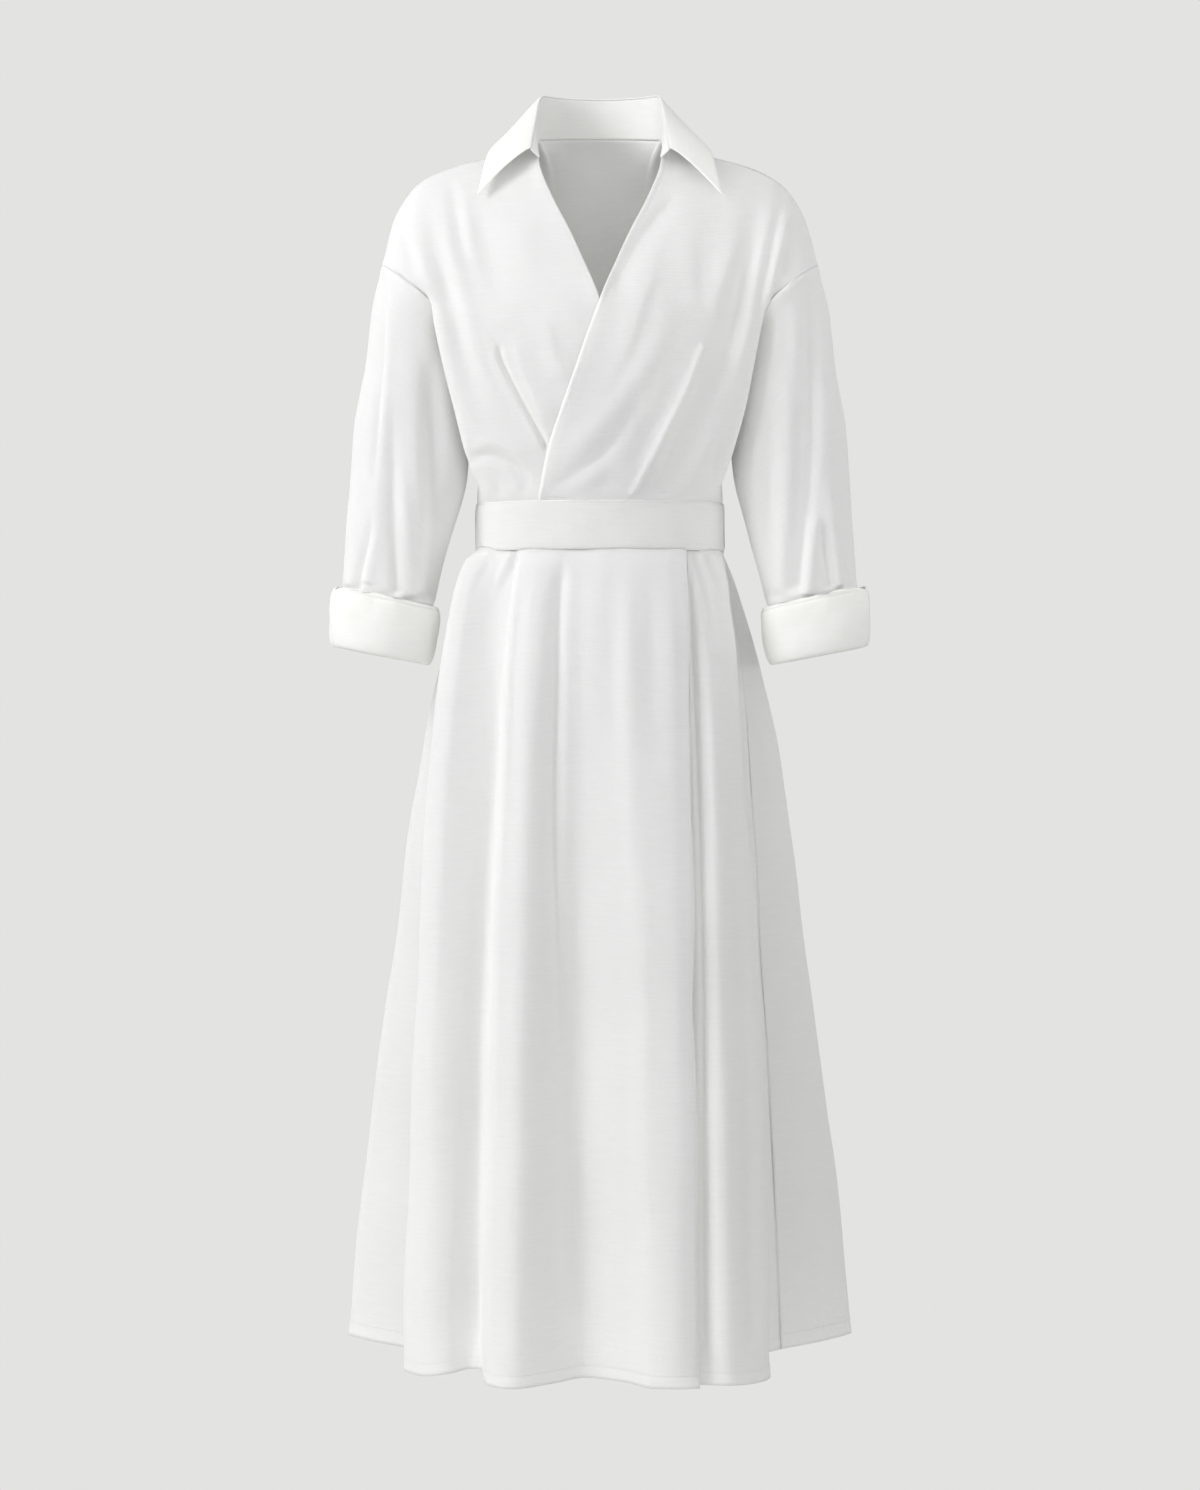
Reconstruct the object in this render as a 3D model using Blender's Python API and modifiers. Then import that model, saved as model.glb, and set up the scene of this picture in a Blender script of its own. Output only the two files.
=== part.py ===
"""Shirt dress, worn shape, as thin cloth walls.

The dress hangs on the wearer's shoulders and nothing fills it.  The origin is
on the centre line at the height of the shoulder seams beside the neck.  +Z is
up, the front faces -Y, and +X is the wearer's left.  Every table is in
millimetres, and each panel is a smooth surface through its rows.
"""

from collections import namedtuple
from math import copysign, cos, pi, radians, sin, sqrt

import bmesh
import bpy
import numpy as np

MM = 0.001

# ---------------------------------------------------------------- sizes, mm

CLOTH = 1.0              # wall of a single cloth layer
BAND_CLOTH = 2.0         # wall of the doubled waistband
CUFF_CLOTH = 1.6         # wall of the doubled cuffs
STAND_CLOTH = 1.4        # wall of the collar stand
SEAM = 0.4               # half the gap that keeps sewn pieces apart

WAIST_WIDTH = 123.0      # half width of the waist ring
WAIST_DEPTH = 95.0       # half depth of the waist ring, in front
WAIST_BACK = 92.0        # and behind
BAND_TOP = -355.0
BAND_BOTTOM = -402.0
HEM = -1212.0            # hem at centre front

NECK_X = 62.0            # shoulder seam beside the neck
NECK_Z = 8.0
NAPE_Y = 58.0            # neck seam at centre back
NAPE_Z = 17.0

ARMHOLE_CENTRE = np.array([175.0, 8.0, -150.5])
ARMHOLE_RISE = np.array([43.0, 0.0, 34.5])      # centre to the outer top
ARMHOLE_REACH = np.array([0.0, -72.0, 0.0])     # centre to the front
ARMHOLE_GAP = np.array([0.9, 0.0, -1.1])        # bodice edge to sleeve edge
UNDERARM_GAP = np.array([1.5, 0.0, 0.0])        # and further at the underarm

LAP = 1.5                # each front moves this far off the shared surface

# The left front's edge, from the waistband up to the shoulder seam.
EdgePoint = namedtuple("EdgePoint", "z x")
FRONT_EDGE = [
    EdgePoint(-355, -61),
    EdgePoint(-307, -52),
    EdgePoint(-230, -26),
    EdgePoint(-157, 0),
    EdgePoint(-66, 40),
    EdgePoint(-32, 57),
    EdgePoint(8, 62),
]

# Torso below the armholes: front and back depth, the folds that stand in front
# of the arm and behind it, and the side seam.
TorsoRow = namedtuple(
    "TorsoRow", "z front fold_x fold_y back back_fold_x back_fold_y side_x side_y")
TORSO = [
    TorsoRow(-355, 95, 108, -45, 92, 107, 45, 123, 0),
    TorsoRow(-330, 99, 124, -45, 94, 121, 46, 121, 2),
    TorsoRow(-300, 103, 134, -57, 96, 128, 56, 120, 3),
    TorsoRow(-260, 107, 145, -62, 99, 135, 64, 121, 4),
    TorsoRow(-222, 109, 152, -65, 102, 141, 69, 124, 5),
    TorsoRow(-192, 109, 158, -67, 103, 146, 72, 130, 6),
]
UNDERARM = TorsoRow(-152, 107, 162, -66, 103, 154, 74, 143, 0)
UNDERARM_TURN = 138.0    # where that row meets the armhole, in degrees
UNDERARM_FOLD_Z = -169.0
FOLD_RETURN = np.array([0.16, 0.5, 0.5])   # where the cloth turns in at a fold

# Torso above: where each row starts at the front edge and the centre back,
# where it ends on the armhole (0 degrees is the top, 180 the underarm), how
# much of it lies before its last fold, and how far it follows the shoulder.
YokeRow = namedtuple("YokeRow", "edge_z front armhole back_z back gather shoulder")
YOKE = [
    YokeRow(-120, 106, 104, -122, 101, 0.975, 0.15),
    YokeRow(-88, 105, 74, -86, 96, 0.94, 0.35),
    YokeRow(-52, 105, 45, -48, 85, 0.90, 0.60),
    YokeRow(-18, 105, 20, -10, 69, 0.88, 0.85),
]
TOP_GATHER = 0.88

# Height of the shoulder line over its distance from the centre.
ShoulderPoint = namedtuple("ShoulderPoint", "x z")
SHOULDER = [
    ShoulderPoint(62, 8),
    ShoulderPoint(90, -1),
    ShoulderPoint(115, -9),
    ShoulderPoint(145, -16),
    ShoulderPoint(169, -26),
    ShoulderPoint(191, -45),
    ShoulderPoint(208, -78),
    ShoulderPoint(218, -116),
]
SHOULDER_ROUND = 190.0   # height over which the chest rounds to the shoulder
YOKE_WIDTH = 236.0       # half width at which the upper front would reach y 0
SHOULDER_END = 218.0     # half width at the end of the shoulder seam

# Sleeve rings below the armhole: centre, half width, how much higher the
# outer side is than the centre, and half depth.
SleeveRow = namedtuple("SleeveRow", "x y z width tilt depth")
SLEEVE = [
    SleeveRow(180.5, 6, -177, 46.5, 22, 67),
    SleeveRow(183, 2, -225, 51, 10, 63),
    SleeveRow(188, -1, -275, 56.5, 4, 60),
    SleeveRow(191, -5, -325, 57.5, 2, 57),
    SleeveRow(200, -11, -380, 52, 4, 52),
    SleeveRow(208, -16, -425, 46.5, 8, 47),
    SleeveRow(213, -19, -458, 43.5, 9, 44.5),
    SleeveRow(217, -21, -493, 42.5, 9, 43.5),
]

# Turned-back cuff, from the sleeve's end, round the bottom roll and up.
CuffRow = namedtuple("CuffRow", "x z width tilt depth")
CUFF = [
    CuffRow(217.05, -493.7, 42.4, 9, 43.4),
    CuffRow(218.0, -502, 42.9, 9, 43.9),
    CuffRow(218.2, -505.8, 45.0, 9, 45.8),
    CuffRow(218.0, -503, 48.2, 9, 48.6),
    CuffRow(217.2, -494, 50.4, 9.3, 50.4),
    CuffRow(215.6, -474, 52.6, 10, 52.0),
    CuffRow(213.8, -455, 53.4, 11, 52.6),
    CuffRow(213.2, -447.5, 52.6, 11.4, 52.0),
]
CUFF_Y = -21.0
CUFF_SLIT = 20.0         # angle of the opening, behind the outer side
CUFF_SLIT_HALF = 2.6     # half its width, in degrees

# Collar stations from centre back to the front end: the neck seam, the roll
# line at the top, and the outer edge of the leaf.
CollarRow = namedtuple(
    "CollarRow", "seam_x seam_y seam_z roll_x roll_y roll_z edge_x edge_y edge_z")
COLLAR = [
    CollarRow(0, 58, 17, 0, 61, 58, 0, 80, 8),
    CollarRow(34, 49, 16, 35, 51, 58, 44, 72, 8),
    CollarRow(54, 29, 13, 54, 29, 57.5, 76, 50, 9),
    CollarRow(61.5, 6, 9, 60.5, 4, 49, 96, 18, 8),
    CollarRow(62, -16, 0.5, 64, -18, 27, 110, -12, -2),
    CollarRow(60, -31.5, -11.5, 69, -35.5, -3, 121, -50, -50),
]
ROLL = 4.0               # how far the leaf stands off where it turns over

# Skirt growth: 0 is the waist ring, 1 is the hem.
GrowthPoint = namedtuple("GrowthPoint", "z share")
GROWTH = [
    GrowthPoint(-402, 0.0),
    GrowthPoint(-410, 0.045),
    GrowthPoint(-430, 0.11),
    GrowthPoint(-455, 0.175),
    GrowthPoint(-487, 0.25),
    GrowthPoint(-540, 0.345),
    GrowthPoint(-612, 0.455),
    GrowthPoint(-720, 0.575),
    GrowthPoint(-831, 0.68),
    GrowthPoint(-1019, 0.86),
    GrowthPoint(-1172, 0.98),
    GrowthPoint(-1215, 1.0),
]

# Skirt fold lines from the left side seam over the front to the other side.
# waist is the place on the waist ring in degrees from centre front, inset is
# how far behind the ring the cloth starts, and early below 1 spreads sooner.
FoldLine = namedtuple("FoldLine", "waist inset hem_x hem_y rise early")
SKIRT_FRONT = [
    FoldLine(-94, 0, -186, 22, 10, 1.0),
    FoldLine(-86, 0, -163, -6, 6, 1.0),
    FoldLine(-78, 0, -182, -44, 4, 0.75),
    FoldLine(-72, 0, -193, -86, 3, 0.62),
    FoldLine(-64, 0, -174, -124, 2, 0.75),
    FoldLine(-56, 0, -150, -135, 5, 1.0),
    FoldLine(-48, 2, -126, -124, 9, 1.0),
    FoldLine(-43, 3, -113, -136, 9, 1.0),
    FoldLine(-41, 1, -110, -176, 3, 1.0),
    FoldLine(-38, 0, -104, -195, 1, 1.0),
    FoldLine(-30, 0, -82, -207, 0, 1.0),
    FoldLine(-22, 1, -46, -188, 3, 1.0),
    FoldLine(-12, 2, -14, -167, 6, 1.0),
    FoldLine(4, 0, 24, -184, 4, 1.0),
    FoldLine(18, 0, 52, -203, 0, 1.0),
    FoldLine(32, 0, 76, -207, 0, 1.0),
    FoldLine(43.2, 0, 91.5, -202, 0, 1.0),
    FoldLine(44.6, 1.2, 94, -198, 0, 1.0),
    FoldLine(43.2, 2.4, 91, -194, 0, 1.0),
    FoldLine(38.0, 2.5, 75, -191, 0, 1.0),
    FoldLine(36.6, 3.7, 72, -187, 1, 1.0),
    FoldLine(38.0, 4.9, 75, -183, 2, 1.0),
    FoldLine(45.5, 4.9, 98, -169, 4, 1.0),
    FoldLine(51, 2.5, 121, -181, 3, 1.0),
    FoldLine(58, 0, 144, -163, 1, 1.0),
    FoldLine(66, 0, 161, -134, 1, 0.9),
    FoldLine(73, 0, 167, -102, 2, 0.85),
    FoldLine(80, 0, 157, -62, 4, 0.9),
    FoldLine(87, 0, 152, -22, 7, 1.0),
    FoldLine(94, 0, 182, 16, 11, 1.0),
]
SKIRT_BACK = [
    FoldLine(94, 0, 182, 16, 11, 1.0),
    FoldLine(98, 0, 226, 42, 16, 1.0),
    FoldLine(103, 0, 256, 80, 20, 1.0),
    FoldLine(110, 0, 240, 118, 15, 1.0),
    FoldLine(118, 0, 192, 134, 8, 1.0),
    FoldLine(127, 0, 158, 152, 3, 1.0),
    FoldLine(136, 0, 146, 186, 0, 1.0),
    FoldLine(146, 0, 104, 202, 0, 1.0),
    FoldLine(157, 0, 62, 184, 3, 1.0),
    FoldLine(168, 0, 34, 192, 1, 1.0),
    FoldLine(178, 0, 4, 208, 0, 1.0),
    FoldLine(189, 0, -34, 196, 2, 1.0),
    FoldLine(200, 0, -66, 180, 4, 1.0),
    FoldLine(211, 0, -98, 196, 0, 1.0),
    FoldLine(222, 0, -140, 188, 0, 1.0),
    FoldLine(232, 0, -160, 156, 3, 1.0),
    FoldLine(241, 0, -186, 136, 8, 1.0),
    FoldLine(250, 0, -238, 120, 14, 1.0),
    FoldLine(257, 0, -256, 82, 18, 1.0),
    FoldLine(262, 0, -230, 48, 15, 1.0),
    FoldLine(266, 0, -186, 22, 10, 1.0),
]


# ------------------------------------------------------------ smooth curves

def slope_between(first, second):
    """A slope for a point between two steps that never makes a curve overshoot."""
    mean = (first + second) / 2
    limit = 2.5 * np.minimum(np.abs(first), np.abs(second))
    limit[first * second <= 0] = 0.0
    return np.clip(mean, -limit, limit)


def smooth(points, place):
    """Read a smooth curve through evenly numbered points at a place 0..n-1."""
    last = len(points) - 1
    start = min(max(int(place), 0), last - 1)
    part = place - start
    here = points[start]
    there = points[start + 1]
    step = there - here
    leave = slope_between(here - points[start - 1], step) if start > 0 else step
    arrive = slope_between(step, points[start + 2] - there) if start + 2 <= last else step
    square = part * part
    cube = square * part
    return ((2 * cube - 3 * square + 1) * here + (cube - 2 * square + part) * leave
            + (3 * square - 2 * cube) * there + (cube - square) * arrive)


def read(table, key):
    """Look up a two-column table, smoothly, by its first column."""
    keys = [row[0] for row in table]
    step = 1 if keys[-1] > keys[0] else -1
    index = 0
    while index < len(keys) - 2 and (key - keys[index + 1]) * step > 0:
        index += 1
    part = (key - keys[index]) / (keys[index + 1] - keys[index])
    part = min(max(part, 0.0), 1.0)
    values = np.array([float(row[1]) for row in table])
    widths = np.diff(np.array(keys, dtype=float))
    slopes = np.diff(values) / widths
    ends = np.concatenate(([slopes[0]], (slopes[1:] + slopes[:-1]) / 2, [slopes[-1]]))
    flat = slopes[1:] * slopes[:-1] <= 0
    ends[1:-1][flat] = 0
    width = widths[index]
    square = part * part
    cube = square * part
    return float((2 * cube - 3 * square + 1) * values[index]
                 + (cube - 2 * square + part) * width * ends[index]
                 + (3 * square - 2 * cube) * values[index + 1]
                 + (cube - square) * width * ends[index + 1])


def mirrored(point):
    return point * np.array([-1.0, 1.0, 1.0])


# ------------------------------------------------------------------ objects

def clear_scene():
    for old in list(bpy.data.objects):
        bpy.data.objects.remove(old, do_unlink=True)


def cotton(name, colour):
    material = bpy.data.materials.new(name)
    material.use_nodes = True
    shader = material.node_tree.nodes["Principled BSDF"]
    shader.inputs["Base Color"].default_value = (*colour, 1.0)
    shader.inputs["Roughness"].default_value = 0.8
    shader.inputs["Metallic"].default_value = 0.0
    return material


def cloth(name, surface, columns, rows, wall=CLOTH, shade=0.86):
    """Make one panel: a grid laid on surface(u, v), given its wall."""
    shape = bmesh.new()
    bmesh.ops.create_grid(shape, x_segments=columns, y_segments=rows, size=0.5)
    for vert in shape.verts:
        vert.co = surface(vert.co.x + 0.5, vert.co.y + 0.5) * MM
    bmesh.ops.remove_doubles(shape, verts=shape.verts, dist=0.02 * MM)
    mesh = bpy.data.meshes.new(name)
    shape.to_mesh(mesh)
    shape.free()
    panel = bpy.data.objects.new(name, mesh)
    collection.objects.link(panel)
    mesh.materials.append(cotton(name + "_cotton", (shade, shade, shade)))
    wall_maker = panel.modifiers.new("Wall", "SOLIDIFY")
    wall_maker.thickness = wall * MM
    wall_maker.offset = 0.0
    return panel


# ------------------------------------------------------------------- bodice

def armhole(degrees):
    """A point on the left armhole: 0 is the outer top, 90 the front."""
    turn = radians(degrees)
    return ARMHOLE_CENTRE + cos(turn) * ARMHOLE_RISE + sin(turn) * ARMHOLE_REACH


def rounding(x, z):
    """How far the chest has come forward below the shoulder line, 0 to 1."""
    below = (read(SHOULDER, max(x, NECK_X)) - z) / SHOULDER_ROUND
    below = min(max(below, 0.0), 1.0)
    return (1 - (1 - below) ** 1.6) ** 0.75


FRONT_SHARES = (0.0, 0.3, 0.6, 0.85)
NECK_SHARE = 0.284
BACK_SHARES = (0.0, 0.12, 0.22, NECK_SHARE, 0.45, 0.65, 0.84)


def fold_row(shares, start_x, start_z, depth, fold, side):
    """Points of a row that rounds to a fold and turns in to the side seam."""
    full = fold[0] / sqrt(1 - (fold[1] / depth) ** 2)
    points = []
    for share in shares:
        x = start_x + (fold[0] - start_x) * share
        y = copysign(depth * sqrt(1 - (x / full) ** 2), fold[1])
        points.append(np.array([x, y, start_z + (fold[2] - start_z) * share ** 2]))
    return points + [fold, side + (fold - side) * FOLD_RETURN, side]


def yoke_shares(shares, gather):
    return [share * gather for share in shares] + [gather, (1 + gather) / 2, 1.0]


def yoke_z(x, start_x, start_z, end, shoulder):
    """Height along an upper row: a straight fall mixed with the shoulder's."""
    share = (x - start_x) / (end[0] - start_x)
    top_start = read(SHOULDER, max(start_x, NECK_X))
    top = read(SHOULDER, max(x, NECK_X))
    falls = (top - top_start) / (read(SHOULDER, end[0]) - top_start)
    return start_z + (end[2] - start_z) * (share * (1 - shoulder) + falls * shoulder)


def torso_front_row(row):
    fold = np.array([row.fold_x, row.fold_y, row.z])
    side = np.array([row.side_x, row.side_y, row.z])
    return fold_row(FRONT_SHARES, read(FRONT_EDGE, row.z), row.z, row.front, fold, side)


def underarm_front_row():
    row = UNDERARM
    fold = np.array([row.fold_x, row.fold_y, UNDERARM_FOLD_Z])
    return fold_row(FRONT_SHARES, read(FRONT_EDGE, row.z), row.z, row.front, fold,
                    armhole(UNDERARM_TURN))


def yoke_front_row(row):
    """Points of one upper row, from the neck edge to the armhole."""
    start_x = read(FRONT_EDGE, row.edge_z)
    end = armhole(row.armhole)
    shares = yoke_shares(FRONT_SHARES, row.gather)
    points = []
    for share in shares:
        x = start_x + (end[0] - start_x) * share
        z = yoke_z(x, start_x, row.edge_z, end, row.shoulder)
        side = sqrt(1 - (x / YOKE_WIDTH) ** 2)
        points.append(np.array([x, -row.front * side * rounding(x, z), z]))
    miss = end - points[-1]
    return [point + miss * share ** 3 for share, point in zip(shares, points)]


def shoulder_point(x, side):
    """A point on the shoulder seam, side -1 for the front and 1 for the back."""
    share = (x - NECK_X) / (SHOULDER_END - NECK_X)
    return np.array([x, ARMHOLE_CENTRE[1] * share + side * SEAM, read(SHOULDER, x)])


def shoulder_row():
    return [shoulder_point(NECK_X + (SHOULDER_END - NECK_X) * share, -1)
            for share in yoke_shares(FRONT_SHARES, TOP_GATHER)]


FRONT_ROWS = ([torso_front_row(row) for row in TORSO] + [underarm_front_row()]
              + [yoke_front_row(row) for row in YOKE] + [shoulder_row()])


def across(points_by_row, place):
    """Points of the row at a place up the panel."""
    columns = len(points_by_row[0])
    return [smooth([row[column] for row in points_by_row], place)
            for column in range(columns)]


def front_surface(u, v):
    """The left front: u from its edge to the side, v from waist to shoulder."""
    row = across(FRONT_ROWS, v * (len(FRONT_ROWS) - 1))
    point = smooth(row, u * (len(row) - 1))
    if v == 0.0:
        point[2] += SEAM + 0.1
    return point


def lapped(point, outward):
    """Move a front off the shared surface where the two fronts lap."""
    near = max(0.0, 1 - abs(point[0]) / 110.0)
    below = min(max((-60.0 - point[2]) / 60.0, 0.0), 1.0)
    moved = point.copy()
    moved[1] -= outward * LAP * min(1.0, near * 2.2) * below
    return moved


def front_left(u, v):
    return lapped(front_surface(u, v), 1.0)


def front_right(u, v):
    return mirrored(lapped(front_surface(u, v), -1.0))


def torso_back_row(row):
    fold = np.array([row.back_fold_x, row.back_fold_y, row.z])
    side = np.array([row.side_x, row.side_y, row.z])
    return fold_row(BACK_SHARES, 0.0, row.z, row.back, fold, side)


def underarm_back_row():
    row = UNDERARM
    fold = np.array([row.back_fold_x, row.back_fold_y, UNDERARM_FOLD_Z])
    return fold_row(BACK_SHARES, 0.0, row.z - 6, row.back, fold, armhole(-UNDERARM_TURN))


def yoke_back_row(row):
    end = armhole(-row.armhole)
    points = []
    for share in yoke_shares(BACK_SHARES, row.gather):
        x = end[0] * share
        y = end[1] + (row.back - end[1]) * sqrt(1 - share ** 2)
        points.append(np.array([x, y, yoke_z(x, 0.0, row.back_z, end, row.shoulder)]))
    return points


def back_top_row():
    """The neck seam from the nape, then the shoulder seam."""
    points = []
    for share in yoke_shares(BACK_SHARES, TOP_GATHER):
        if share < NECK_SHARE * TOP_GATHER:
            turn = share / (NECK_SHARE * TOP_GATHER) * pi / 2
            z = NECK_Z + (NAPE_Z - NECK_Z) * cos(turn)
            points.append(np.array([NECK_X * sin(turn), NAPE_Y * cos(turn) + SEAM, z]))
        else:
            past = (share - NECK_SHARE * TOP_GATHER) / (1 - NECK_SHARE * TOP_GATHER)
            points.append(shoulder_point(NECK_X + (SHOULDER_END - NECK_X) * past, 1))
    return points


BACK_ROWS = ([torso_back_row(row) for row in TORSO] + [underarm_back_row()]
             + [yoke_back_row(row) for row in YOKE] + [back_top_row()])


def back_surface(u, v):
    """The back: u from the right side to the left side, v up."""
    row = across(BACK_ROWS, v * (len(BACK_ROWS) - 1))
    whole = [mirrored(point) for point in reversed(row[1:])] + row
    point = smooth(whole, u * (len(whole) - 1))
    if v == 0.0:
        point[2] += SEAM + 0.1
    return point


def side_gap(point, front):
    """Keep the two sides of a side seam or an armhole corner apart."""
    moved = point.copy()
    moved[1] += -SEAM if front else SEAM
    return moved


def make_bodice():
    def with_gap(surface, front):
        def gapped(u, v):
            point = surface(u, v)
            outer = u == 1.0 or (not front and u == 0.0)
            return side_gap(point, front) if outer and v < 0.99 else point
        return gapped
    cloth("front_left", with_gap(front_left, True), 14, 12, shade=0.9)
    cloth("front_right", with_gap(front_right, True), 14, 12, shade=0.88)
    cloth("back", with_gap(back_surface, False), 22, 12, shade=0.84)


# ------------------------------------------------------------------ sleeves

def ring_point(row, y, turn):
    return np.array([row.x + row.width * cos(turn), y - row.depth * sin(turn),
                     row.z + row.tilt * cos(turn)])


def sleeve_surface(u, v):
    """The left sleeve: u round it from the outer side, v down to the cuff."""
    turn = 2 * pi * u
    start = armhole(360 * u)
    start = start + ARMHOLE_GAP + UNDERARM_GAP * (1 - cos(turn)) / 2
    rings = [start] + [ring_point(row, row.y, turn) for row in SLEEVE]
    return smooth(rings, v * (len(rings) - 1))


def cuff_surface(u, v):
    """The left cuff: u from one side of its opening to the other."""
    span = 360 - 2 * CUFF_SLIT_HALF
    turn = radians(-CUFF_SLIT + CUFF_SLIT_HALF + span * u)
    rings = [ring_point(row, CUFF_Y, turn) for row in CUFF]
    return smooth(rings, v * (len(rings) - 1))


def make_sleeves():
    for side, turned in (("left", lambda point: point), ("right", mirrored)):
        cloth("sleeve_" + side, lambda u, v: turned(sleeve_surface(u, v)), 18, 11)
        cloth("cuff_" + side, lambda u, v: turned(cuff_surface(u, v)), 20, 6,
              wall=CUFF_CLOTH, shade=0.92)


# ------------------------------------------------------------------- collar

def collar_station(place):
    """The seam, roll and edge points at a place along the half collar."""
    rows = [np.array(row, dtype=float) for row in COLLAR]
    values = smooth(rows, place * (len(rows) - 1))
    return values[0:3], values[3:6], values[6:9]


def stand_surface(u, v):
    side = abs(2 * u - 1)
    seam, roll, _ = collar_station(side)
    seam = seam + np.array([0.0, 0.0, SEAM + 1.4])
    point = seam + (roll - np.array([0.0, 0.0, 2.0]) - seam) * v
    return point if u >= 0.5 else mirrored(point)


def leaf_surface(u, v):
    """The fall: it turns over the roll line and drops to its outer edge."""
    side = abs(2 * u - 1)
    _, roll, edge = collar_station(side)
    out = np.array([edge[0] - roll[0], edge[1] - roll[1], 0.0])
    out /= sqrt(out @ out)
    line = roll + (edge - roll) * v
    stand_off = ROLL * sqrt(v) * (1 - v) * 2.0
    point = line + out * stand_off + np.array([0.0, 0.0, stand_off * 0.6 + 0.8])
    return point if u >= 0.5 else mirrored(point)


def make_collar():
    cloth("collar_stand", stand_surface, 20, 2, wall=STAND_CLOTH, shade=0.8)
    cloth("collar_leaf", leaf_surface, 22, 4, shade=0.93)


# ---------------------------------------------------------------- waistband

def band_surface(first, last):
    def surface(u, v):
        turn = radians(first + (last - first) * u)
        depth = WAIST_DEPTH if cos(turn) > 0 else WAIST_BACK
        z = BAND_BOTTOM + (BAND_TOP - BAND_BOTTOM) * v
        grow = 1.0 - v
        return np.array([(WAIST_WIDTH + grow) * sin(turn),
                         -(depth + grow) * cos(turn), z])
    return surface


def make_waistband():
    seam = 0.25          # degrees either side of each side seam
    cloth("waistband_front", band_surface(-90 + seam, 90 - seam), 20, 1,
          wall=BAND_CLOTH, shade=0.94)
    cloth("waistband_back", band_surface(90 + seam, 270 - seam), 20, 1,
          wall=BAND_CLOTH, shade=0.86)


# -------------------------------------------------------------------- skirt

SKIRT_TOP = BAND_BOTTOM - 0.9


def fold_point(line, v):
    """A point on one fold line, v from the hem up to the waistband."""
    bottom = HEM + line.rise
    z = bottom + (SKIRT_TOP - bottom) * v
    share = read(GROWTH, z) ** line.early
    turn = radians(line.waist)
    depth = WAIST_DEPTH if cos(turn) > 0 else WAIST_BACK
    x = (WAIST_WIDTH + 1 - line.inset) * sin(turn)
    y = -(depth + 1 - line.inset) * cos(turn)
    return np.array([x + (line.hem_x - x) * share, y + (line.hem_y - y) * share, z])


def skirt_surface(lines):
    last = len(lines) - 1

    def surface(u, v):
        section = [fold_point(line, v ** 1.25) for line in lines]
        point = smooth(section, last * u)
        if u in (0.0, 1.0):
            inward = smooth(section, last * u + (0.1 if u == 0.0 else -0.1)) - point
            point = point + inward / sqrt(inward @ inward) * SEAM
        return point
    return surface


def make_skirt():
    cloth("skirt_front", skirt_surface(SKIRT_FRONT), 2 * (len(SKIRT_FRONT) - 1), 7,
          shade=0.9)
    cloth("skirt_back", skirt_surface(SKIRT_BACK), 2 * (len(SKIRT_BACK) - 1), 7,
          shade=0.84)


clear_scene()
collection = bpy.data.collections.new("shirt_dress")
bpy.context.scene.collection.children.link(collection)
make_bodice()
make_sleeves()
make_collar()
make_waistband()
make_skirt()
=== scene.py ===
# %% [markdown]
# # A white cotton shirt dress, worn shape, with nobody in it
#
# The dress is cut from thin cotton poplin: two bodice fronts that lap over each
# other, a back, two sleeves with turned-back cuffs, a pointed collar on a
# stand, a waistband, and an A-line skirt with one pressed knife pleat and
# softer folds. The frame gives each panel's place and size. Here every panel is
# made again as a fine, thin shell of cloth with its creases, seams and
# stitches. The frame is in metres, and the tables of the dress in millimetres.

# %% Load the frame
from collections import namedtuple
from math import cos, degrees, pi, radians, sin, sqrt

import bmesh
import bpy
import numpy as np
from mathutils import Matrix, Vector, noise


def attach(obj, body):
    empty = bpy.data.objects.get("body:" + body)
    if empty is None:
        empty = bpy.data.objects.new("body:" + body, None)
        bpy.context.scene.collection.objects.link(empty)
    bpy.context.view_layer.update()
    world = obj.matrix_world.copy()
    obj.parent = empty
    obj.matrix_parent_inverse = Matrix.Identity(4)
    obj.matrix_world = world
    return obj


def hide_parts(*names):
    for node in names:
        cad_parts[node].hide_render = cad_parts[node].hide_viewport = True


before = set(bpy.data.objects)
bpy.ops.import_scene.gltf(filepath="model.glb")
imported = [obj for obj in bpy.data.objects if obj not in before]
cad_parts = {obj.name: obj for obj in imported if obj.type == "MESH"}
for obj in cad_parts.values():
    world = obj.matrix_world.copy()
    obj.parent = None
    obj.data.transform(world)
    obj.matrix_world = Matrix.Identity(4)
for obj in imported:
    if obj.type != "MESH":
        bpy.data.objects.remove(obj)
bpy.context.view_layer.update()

MM = 0.001

# %% [markdown]
# ## The camera and the light
#
# A garment like this is shown straight on, from the height of its middle and
# from well back, so that the hem and the shoulders are drawn at nearly the
# same scale. The camera stands 4.9 m in front, level, with a long lens. The
# frame's origin is at the shoulders, so the middle is 595 mm lower.

# %% Camera
CAMERA_AWAY = 4.9            # metres from the centre of the dress
VIEW_CENTRE_Z = -0.595       # metres, the level of the lens
VIEW_HEIGHT = 1.49           # metres of the picture's height at the dress
SENSOR = 36.0                # mm, along the picture's long side


def make_camera():
    data = bpy.data.cameras.new("studio_camera")
    data.sensor_width = SENSOR
    data.lens = SENSOR * CAMERA_AWAY / VIEW_HEIGHT
    camera = bpy.data.objects.new("studio_camera", data)
    bpy.context.scene.collection.objects.link(camera)
    camera.location = (0.0, -CAMERA_AWAY, VIEW_CENTRE_Z)
    camera.rotation_euler = (pi / 2, 0.0, 0.0)
    bpy.context.scene.camera = camera
    print("lens", round(data.lens, 1), "mm")


make_camera()

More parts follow.
